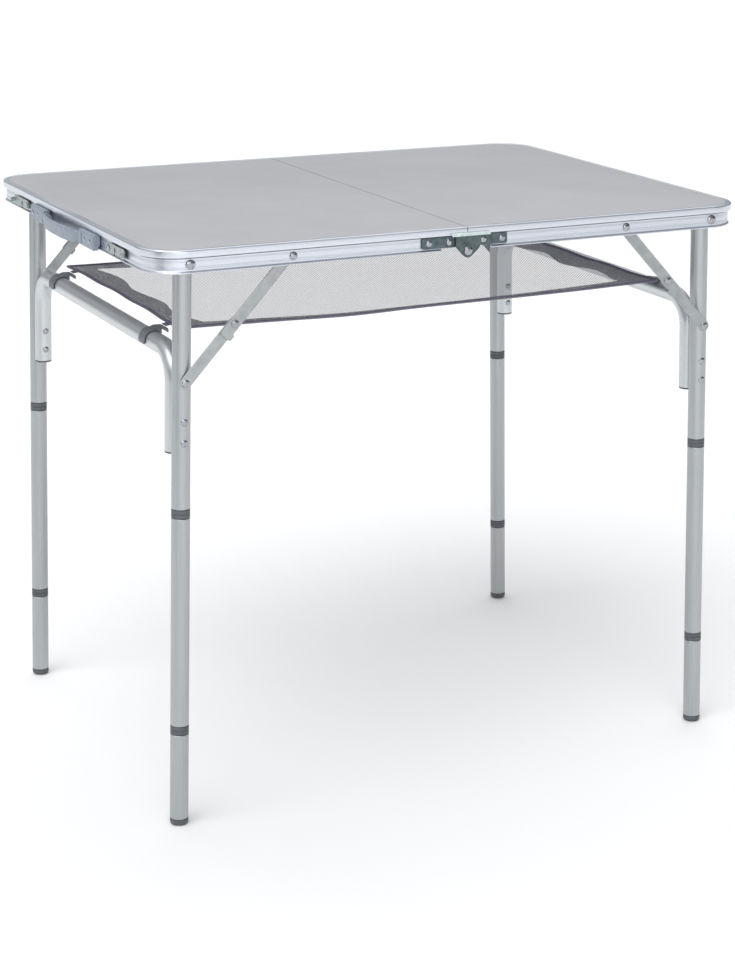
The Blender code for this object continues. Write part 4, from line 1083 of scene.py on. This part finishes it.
def lug_rings(label, end_name):
    """The webbing lug that runs from a corner of the net down under its clip's tongue."""
    side = SIDES[label]
    low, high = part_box(f"net_hook_{label}_{end_name}")
    tip = high.x if side < 0 else low.x
    y = (low.y + high.y) / 2
    places = np.linspace(SEAM_X + side * (NET_HALF_X - 0.006), tip + side * 0.003, 7)
    levels = NET_EDGE_Z + np.linspace(0.0004, -0.0010, 7)
    rings = []
    for x, level in zip(places, levels):
        corners = rectangle(y - LUG_HALF, y + LUG_HALF, level, level + LUG_THICK)
        rings.append(np.column_stack([np.full(4, x), corners]))
    return rings


def hem_material():
    """Overlocked edge: purple-grey thread wound tightly round the knit, finely ribbed."""
    surface, tree, shader, place = new_surface("overlock_thread")
    turns = mottle(tree, place, (900, 900, 900), 2, 0.0, 1.0)
    feed(tree, shade_between(tree, turns, "57546A", "8B8999"), shader, "Base Color")
    fill(shader, Roughness=0.8)
    add_bump(tree, shader, (turns, "Result"), 0.0002, 0.6)
    return surface


hem_thread = hem_material()
for stretch in STRETCHES:
    label, start, end = stretch[:3]
    points, places = net_grid(start, end, 49 if label == "middle" else 25, 65)
    cloth = add_cloth(f"net_{label}", points, places)
    cloth.data.materials.append(net_cloth)

    edges = [points[:, 0], points[:, -1]]
    if label != "middle":
        edges.append(points[0] if label == "left" else points[-1])
    hems = [add_piece("hem", hem_rings(line)) for line in edges]
    if label != "middle":
        hems += [add_piece("lug", lug_rings(label, end_name)) for end_name in ENDS]
    hem = join_pieces(f"net_hem_{label}", hems)
    hem.data.materials.append(hem_thread)
    hang_between(cloth)
    hang_between(hem)
    flat = (abs(end - start), 2 * NET_HALF_Y)
    if label == "middle":
        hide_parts("net_shelf")


# ------------------------------------------------------------------ net hooks
# Injection-moulded polypropylene clips that snap over the cross tubes. Each has a curled tongue
# on its inner side, which the net's webbing lug is slipped under.
CLIP_INNER = TUBE_RADIUS + RUN
CLIP_WALL = 0.002


def clip_outline(side):
    """(x, z) round the clip: over the saddle's outside, the tongue, and back along its inside."""
    outer = CLIP_INNER + CLIP_WALL
    saddle_out = round_arc((0, 0), outer, 196, 84, 18)
    tongue = [
        (0.0040, outer + 0.0010),
        (0.0060, outer + 0.0014),
        (0.0145, outer + 0.0011),
        (0.0172, outer - 0.0002),
        (0.0185, outer - 0.0026),
        (0.0184, outer - 0.0054),
        (0.0172, outer - 0.0056),
        (0.0162, outer - 0.0030),
        (0.0140, outer - 0.0012),
        (0.0100, outer - 0.0010),
    ]
    saddle_end = round_arc((0, 0), outer, 44, 38, 2)
    saddle_in = round_arc((0, 0), CLIP_INNER, 38, 196, 24)
    outline = np.vstack([saddle_out, tongue, saddle_end, saddle_in])
    return outline * [-side, 1]


clip_plastic = moulded_nylon("grey_polypropylene", "60656A", "70757A", 0.46)
for side_name, side in SIDES.items():
    turn_at = hinge_of[f"{side_name}_net_hooks_turn"]["pos_m"]
    for end_name, facing in ENDS.items():
        node = f"net_hook_{side_name}_{end_name}"
        low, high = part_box(node)
        outline = clip_outline(side) + [turn_at[0], turn_at[2]]
        clip = add_piece(f"net_clip_{side_name}_{end_name}", plate_rings(outline, low.y, high.y, 0.0004))
        finish_piece(clip, clip_plastic, f"{side_name}_net_hooks", "hook", node)


# ------------------------------------------------------------------ carry handle
# A bowed grip moulded in blue-grey polypropylene, with raised ribs where the fingers close. Its
# end pins turn in two moulded blocks that are riveted to the left rim.
HANDLE_AXIS = np.array(hinge_of["carry_handle_lift"]["pos_m"])
BRACKET_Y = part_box("handle_bracket_rear")[0].y
HANDLE_HALF = BRACKET_Y - 0.001
HANDLE_BOW = 0.011
HANDLE_TALL = 0.017
HANDLE_THICK = 0.0045
DROOP = math.radians(10)


def grip_centre(steps):
    """(outward, y) of the grip's middle line: a sine and cosine, squared off by a 0.8 power."""
    turn = np.linspace(0, math.pi, steps)
    out = np.sin(turn) ** 0.8 * HANDLE_BOW
    across = np.sign(np.cos(turn)) * np.abs(np.cos(turn)) ** 0.8 * (HANDLE_HALF - 0.0026)
    return np.stack([out, across], 1)


def soft_rectangle(width, height, power=5, steps=28):
    """A closed superellipse: a rectangle with generous round corners."""
    turn = np.linspace(0, 2 * math.pi, steps, endpoint=False)
    c, s = np.cos(turn), np.sin(turn)
    across = np.sign(c) * np.abs(c) ** (2 / power) * width / 2
    up = np.sign(s) * np.abs(s) ** (2 / power) * height / 2
    return np.stack([across, up], 1)


def droop(points):
    """Turns points about the handle's pivot line, from straight out to its drooped rest."""
    c, s = math.cos(DROOP), math.sin(DROOP)
    out = -points[..., 0]
    x, z = -(out * c + points[..., 2] * s), points[..., 2] * c - out * s
    return np.stack([x, points[..., 1], z], -1) + [HANDLE_AXIS[0], 0, HANDLE_AXIS[2]]


handle_plastic = moulded_nylon("blue_grey_polypropylene", "838E9A", "8F9AA6", 0.42)
STATIONS = 61
centre = grip_centre(STATIONS)
ahead = along_path(centre)
outward = np.stack([-ahead[:, 1], ahead[:, 0]], 1)
outward *= np.sign(outward[STATIONS // 2, 0])
from_middle = np.abs(centre[:, 1])
ribs = 1 + 0.10 * np.maximum(0, np.sin(np.arange(STATIONS) * math.pi / 2.5)) * (from_middle < 0.040)
section = soft_rectangle(HANDLE_THICK, HANDLE_TALL)
tall = np.where(from_middle > 0.058, 0.78, 1.0)
rings = []
for place_now, out_now, rib, high_now in zip(centre, outward, ribs, tall):
    flat = place_now + section[:, :1] * rib * out_now
    rings.append(np.column_stack([-flat[:, 0], flat[:, 1], section[:, 1] * high_now]))
grip = [add_piece("grip", droop(np.array(rings)))]
end_profile = [
    (HANDLE_HALF - 0.006, 0.0040),
    (HANDLE_HALF - 0.0055, 0.0048),
    (HANDLE_HALF - 0.0005, 0.0048),
    (HANDLE_HALF, 0.0042),
]
turning_line = (HANDLE_AXIS[0], 0, HANDLE_AXIS[2])
for facing in ENDS.values():
    out = (0, facing, 0)
    grip.append(turned("end", end_profile, turning_line, out, 24))
    grip.append(rod("stub", HANDLE_HALF - 0.001, HANDLE_HALF + 0.009, 0.0023, turning_line, out, 20))
finish_piece(join_pieces("grip_handle", grip), handle_plastic, "carry_handle", "handle", "carry_handle")

for end_name, facing in ENDS.items():
    low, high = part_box(f"handle_bracket_{end_name}")
    wall = SEAM_X - WALL_X - 0.0003
    over_bead = wall - BEAD_OUT - RUN
    front = low.x + 0.001
    outline = [
        (wall, high.z),
        (front, high.z),
        (front, low.z),
        (over_bead, low.z),
        (over_bead, NOTCH_TOP),
        (wall, NOTCH_TOP),
    ]
    block = add_piece("block", plate_rings(rounded(outline, 0.0022), low.y, high.y, 0.0012))
    boss_from, boss_to = front + 0.001, front - 0.0009
    boss = [
        (boss_from, low.z + 0.001),
        (boss_from, high.z - 0.001),
        (boss_to, high.z - 0.003),
        (boss_to, low.z + 0.003),
    ]
    boss_span = span(facing, BRACKET_Y + 0.001, BRACKET_Y + 0.012)
    raised = add_piece("boss", plate_rings(rounded(boss, 0.001), *boss_span, 0.0003))
    bracket = join_pieces(f"handle_block_{end_name}", [block, raised])
    finish_piece(bracket, handle_plastic, "left_half", "handle", f"handle_bracket_{end_name}")
    heads = []
    for y in (BRACKET_Y + 0.022, BRACKET_Y + 0.042):
        base = (front + 0.0004, facing * y, (low.z + high.z) / 2)
        heads.append(turned("head", dome_profile(0, 0.0014, 0.0036), base, (-1, 0, 0), 24))
    finish_piece(join_pieces(f"handle_rivets_{end_name}", heads), rivet_steel, "left_half", "rivet")


# ------------------------------------------------------------------ latches and catches
# Pressed steel hook plates at the left end, each on a shouldered rivet, with a finger tab bent
# out at its free end. Folded shut, their slots drop over the two headed studs at the right end.
LATCH_THICK = 0.0014
SLOT_HALF = 0.0025
SLOT_EASE = 0.0008
STUD_PROFILE = (
    (-0.0006, 0.0032),
    (0.0008, 0.0032),
    (0.0010, 0.0020),
    (0.0040, 0.0020),
    (0.0041, 0.0035),
    (0.0048, 0.0035),
    (0.0052, 0.0028),
)


def latch_outline(reach, tall, slot_at):
    """(y, z) of a hook plate from its pivot, with a round-ended slot open at its lower edge."""
    corner = 0.003
    left, right = slot_at - SLOT_HALF, slot_at + SLOT_HALF
    return np.vstack([
        round_arc((0, 0), tall, 90, 270, 16),
        [(left - SLOT_EASE, -tall), (left, -tall + SLOT_EASE)],
        round_arc((slot_at, 0.0002), SLOT_HALF, 180, 0, 10),
        [(right, -tall + SLOT_EASE), (right + SLOT_EASE, -tall)],
        round_arc((reach - corner, -tall + corner), corner, -90, 0, 5),
        round_arc((reach - corner, tall - corner), corner, 0, 90, 5),
    ])


for end_name, facing in ENDS.items():
    at = np.array(hinge_of[f"latch_{end_name}_swing"]["pos_m"])
    low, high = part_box(f"latch_{end_name}")
    reach = max(abs(low.y), abs(high.y)) - abs(at[1])
    tall = (high.z - low.z) / 2
    outline = latch_outline(reach, tall, 2 * (at[2] - HINGE_Z)) * [facing, 1] + at[1:]
    low_x = high.x - LATCH_THICK
    plate = add_piece("plate", plate_rings(outline, low_x, high.x, 0.0003, axis="x"))
    tab_half = tall - 0.0035
    tab = rounded(rectangle(low.x, high.x - 0.0003, at[2] - tab_half, at[2] + tab_half), 0.001)
    tab_span = span(facing, abs(at[1]) + reach - 0.0015, abs(at[1]) + reach)
    finger = add_piece("tab", plate_rings(tab, *tab_span, 0.0003))
    latch = join_pieces(f"latch_hook_{end_name}", [plate, finger])
    finish_piece(latch, latch_steel, f"latch_{end_name}", "hinge", f"latch_{end_name}")

    left_wall, right_wall = SEAM_X - WALL_X, SEAM_X + WALL_X
    base = (left_wall + 0.0002, at[1], at[2])
    head_base = (low_x - RUN * 0.5, at[1], at[2])
    parts = [
        rod("post", 0, abs(left_wall - low_x) + RUN, 0.0025, base, (-1, 0, 0), 20),
        turned("head", dome_profile(0, 0.0012, 0.0040), head_base, (-1, 0, 0), 24),
    ]
    finish_piece(join_pieces(f"latch_rivet_{end_name}", parts), rivet_steel, "left_half", "rivet")

    catch = turned(f"catch_stud_{end_name}", STUD_PROFILE, (right_wall, at[1], at[2]), (1, 0, 0), 24)
    finish_piece(catch, rivet_steel, "right_half", "rivet")


# ------------------------------------------------------------------ floor, lights and camera
def flat_card(name, width, height):
    """A single rectangle about the origin, with a material of its own; gives both."""
    corners = rectangle(-width / 2, width / 2, -height / 2, height / 2)
    mesh = bpy.data.meshes.new(name)
    mesh.from_pydata([(x, y, 0) for x, y in corners], [], [(0, 1, 2, 3)])
    card = bpy.data.objects.new(name, mesh)
    bpy.context.collection.objects.link(card)
    surface, tree, shader, place = new_surface(name)
    mesh.materials.append(surface)
    return card, shader


def stage_floor():
    """A wide matte floor, near white, that runs past the edge of the view."""
    floor, shader = flat_card("studio_floor", 80.0, 80.0)
    fill(shader, Base_Color=rgb("FBFBFB"), Roughness=0.9, Specular_IOR_Level=0.1)


def stage_sky():
    """A studio surround: bright overhead, darker round the sides, so that metal has contrast."""
    sky = bpy.data.worlds.new("studio")
    sky.use_nodes = True
    tree = sky.node_tree
    ground = tree.nodes["Background"]
    place = tree.nodes.new("ShaderNodeTexCoord")
    apart = add_node(tree, "SeparateXYZ", i0=(place, "Generated"))
    level = add_node(tree, "MapRange", Value=(apart, "Z"), From_Min=-0.15, From_Max=0.75)
    side = add_node(tree, "MapRange", Value=(apart, "X"), From_Min=-1.0, From_Max=1.0)
    tint = shade_between(tree, level, "9DA1A6", "FFFFFF")
    across = shade_between(tree, side, "FFFFFF", "B6B9BE")
    both = mix_colours(tree, 1.0, (tint, "Result"), (across, "Result"), "MULTIPLY")
    tree.links.new(both.outputs["Result"], ground.inputs["Color"])
    ground.inputs["Strength"].default_value = 0.84
    seen = add_node(tree, "Background", Color=rgb("FAFAFA"), Strength=1.0)
    ray = add_node(tree, "LightPath")
    choose = add_node(
        tree,
        "MixShader",
        i0=(ray, "Is Camera Ray"),
        i1=(ground, "Background"),
        i2=(seen, "Background"),
    )
    tree.links.new(choose.outputs["Shader"], tree.nodes["World Output"].inputs["Surface"])
    bpy.context.scene.world = sky


def soft_light(name, at, target, size, power):
    """A rectangular area light, facing the target; size is its width and height in metres."""
    light = bpy.data.lights.new(name, "AREA")
    light.shape = "RECTANGLE"
    light.size, light.size_y = size
    light.energy = power
    lamp = bpy.data.objects.new(name, light)
    lamp.location = at
    lamp.rotation_euler = (Vector(target) - Vector(at)).to_track_quat("-Z", "Y").to_euler()
    bpy.context.collection.objects.link(lamp)


def soft_sun(name, towards, strength, spread):
    """A broad, even light from far away; spread is the angle it fills, in degrees."""
    light = bpy.data.lights.new(name, "SUN")
    light.energy = strength
    light.angle = math.radians(spread)
    lamp = bpy.data.objects.new(name, light)
    lamp.rotation_euler = Vector(towards).to_track_quat("-Z", "Y").to_euler()
    bpy.context.collection.objects.link(lamp)


def dark_card(name, at, target, size):
    """A black flag that only reflections see, so that bright metal has dark edges to mirror."""
    card, shader = flat_card(name, *size)
    fill(shader, Base_Color=(0.01, 0.01, 0.01, 1), Roughness=1.0)
    facing = (Vector(target) - Vector(at)).to_track_quat("-Z", "Y").to_matrix().to_4x4()
    card.matrix_world = Matrix.Translation(at) @ facing
    card.visible_camera = card.visible_diffuse = card.visible_shadow = False


stage_floor()
stage_sky()
dark_card("flag_left", (-3.4, -1.6, 0.9), (0, 0, 0.6), (1.5, 1.8))
dark_card("flag_right", (3.2, -2.2, 1.3), (0, 0, 0.6), (1.6, 1.6))
soft_sun("key", (0.75, 0.55, -1.5), 1.35, 50)
soft_sun("rear_fill", (-0.5, -0.9, -1.4), 0.75, 60)
soft_light("front_card", (-0.6, -3.4, 1.1), (0, 0, 0.6), (2.6, 0.8), 16)

# The camera's place and lens come from the table's own proportions in perspective.
CAMERA_AT = Vector((SEAM_X - 1.26888, -2.67909, 1.19268))
YAW, PITCH, ROLL = 0.47615, 0.20128, 0.00956
FOCAL = 2299.8 / 980
CENTRE = ((367.5 - 436.0) / 980, (274.0 - 490.0) / 980)
forward = Vector((math.sin(YAW) * math.cos(PITCH), math.cos(YAW) * math.cos(PITCH), -math.sin(PITCH)))
level_right = Vector((math.cos(YAW), -math.sin(YAW), 0))
level_up = level_right.cross(forward)
right = level_right * math.cos(ROLL) + level_up * math.sin(ROLL)
up = level_up * math.cos(ROLL) - level_right * math.sin(ROLL)
lens = bpy.data.cameras.new("camera")
lens.sensor_fit = "AUTO"
lens.sensor_width = 36
lens.lens = FOCAL * 36
lens.shift_x, lens.shift_y = CENTRE
lens.clip_end = 120
camera = bpy.data.objects.new("camera", lens)
camera.matrix_world = Matrix.Translation(CAMERA_AT) @ Matrix((right, up, -forward)).transposed().to_4x4()
bpy.context.collection.objects.link(camera)
bpy.context.scene.camera = camera
bpy.context.scene.view_settings.view_transform = "Standard"
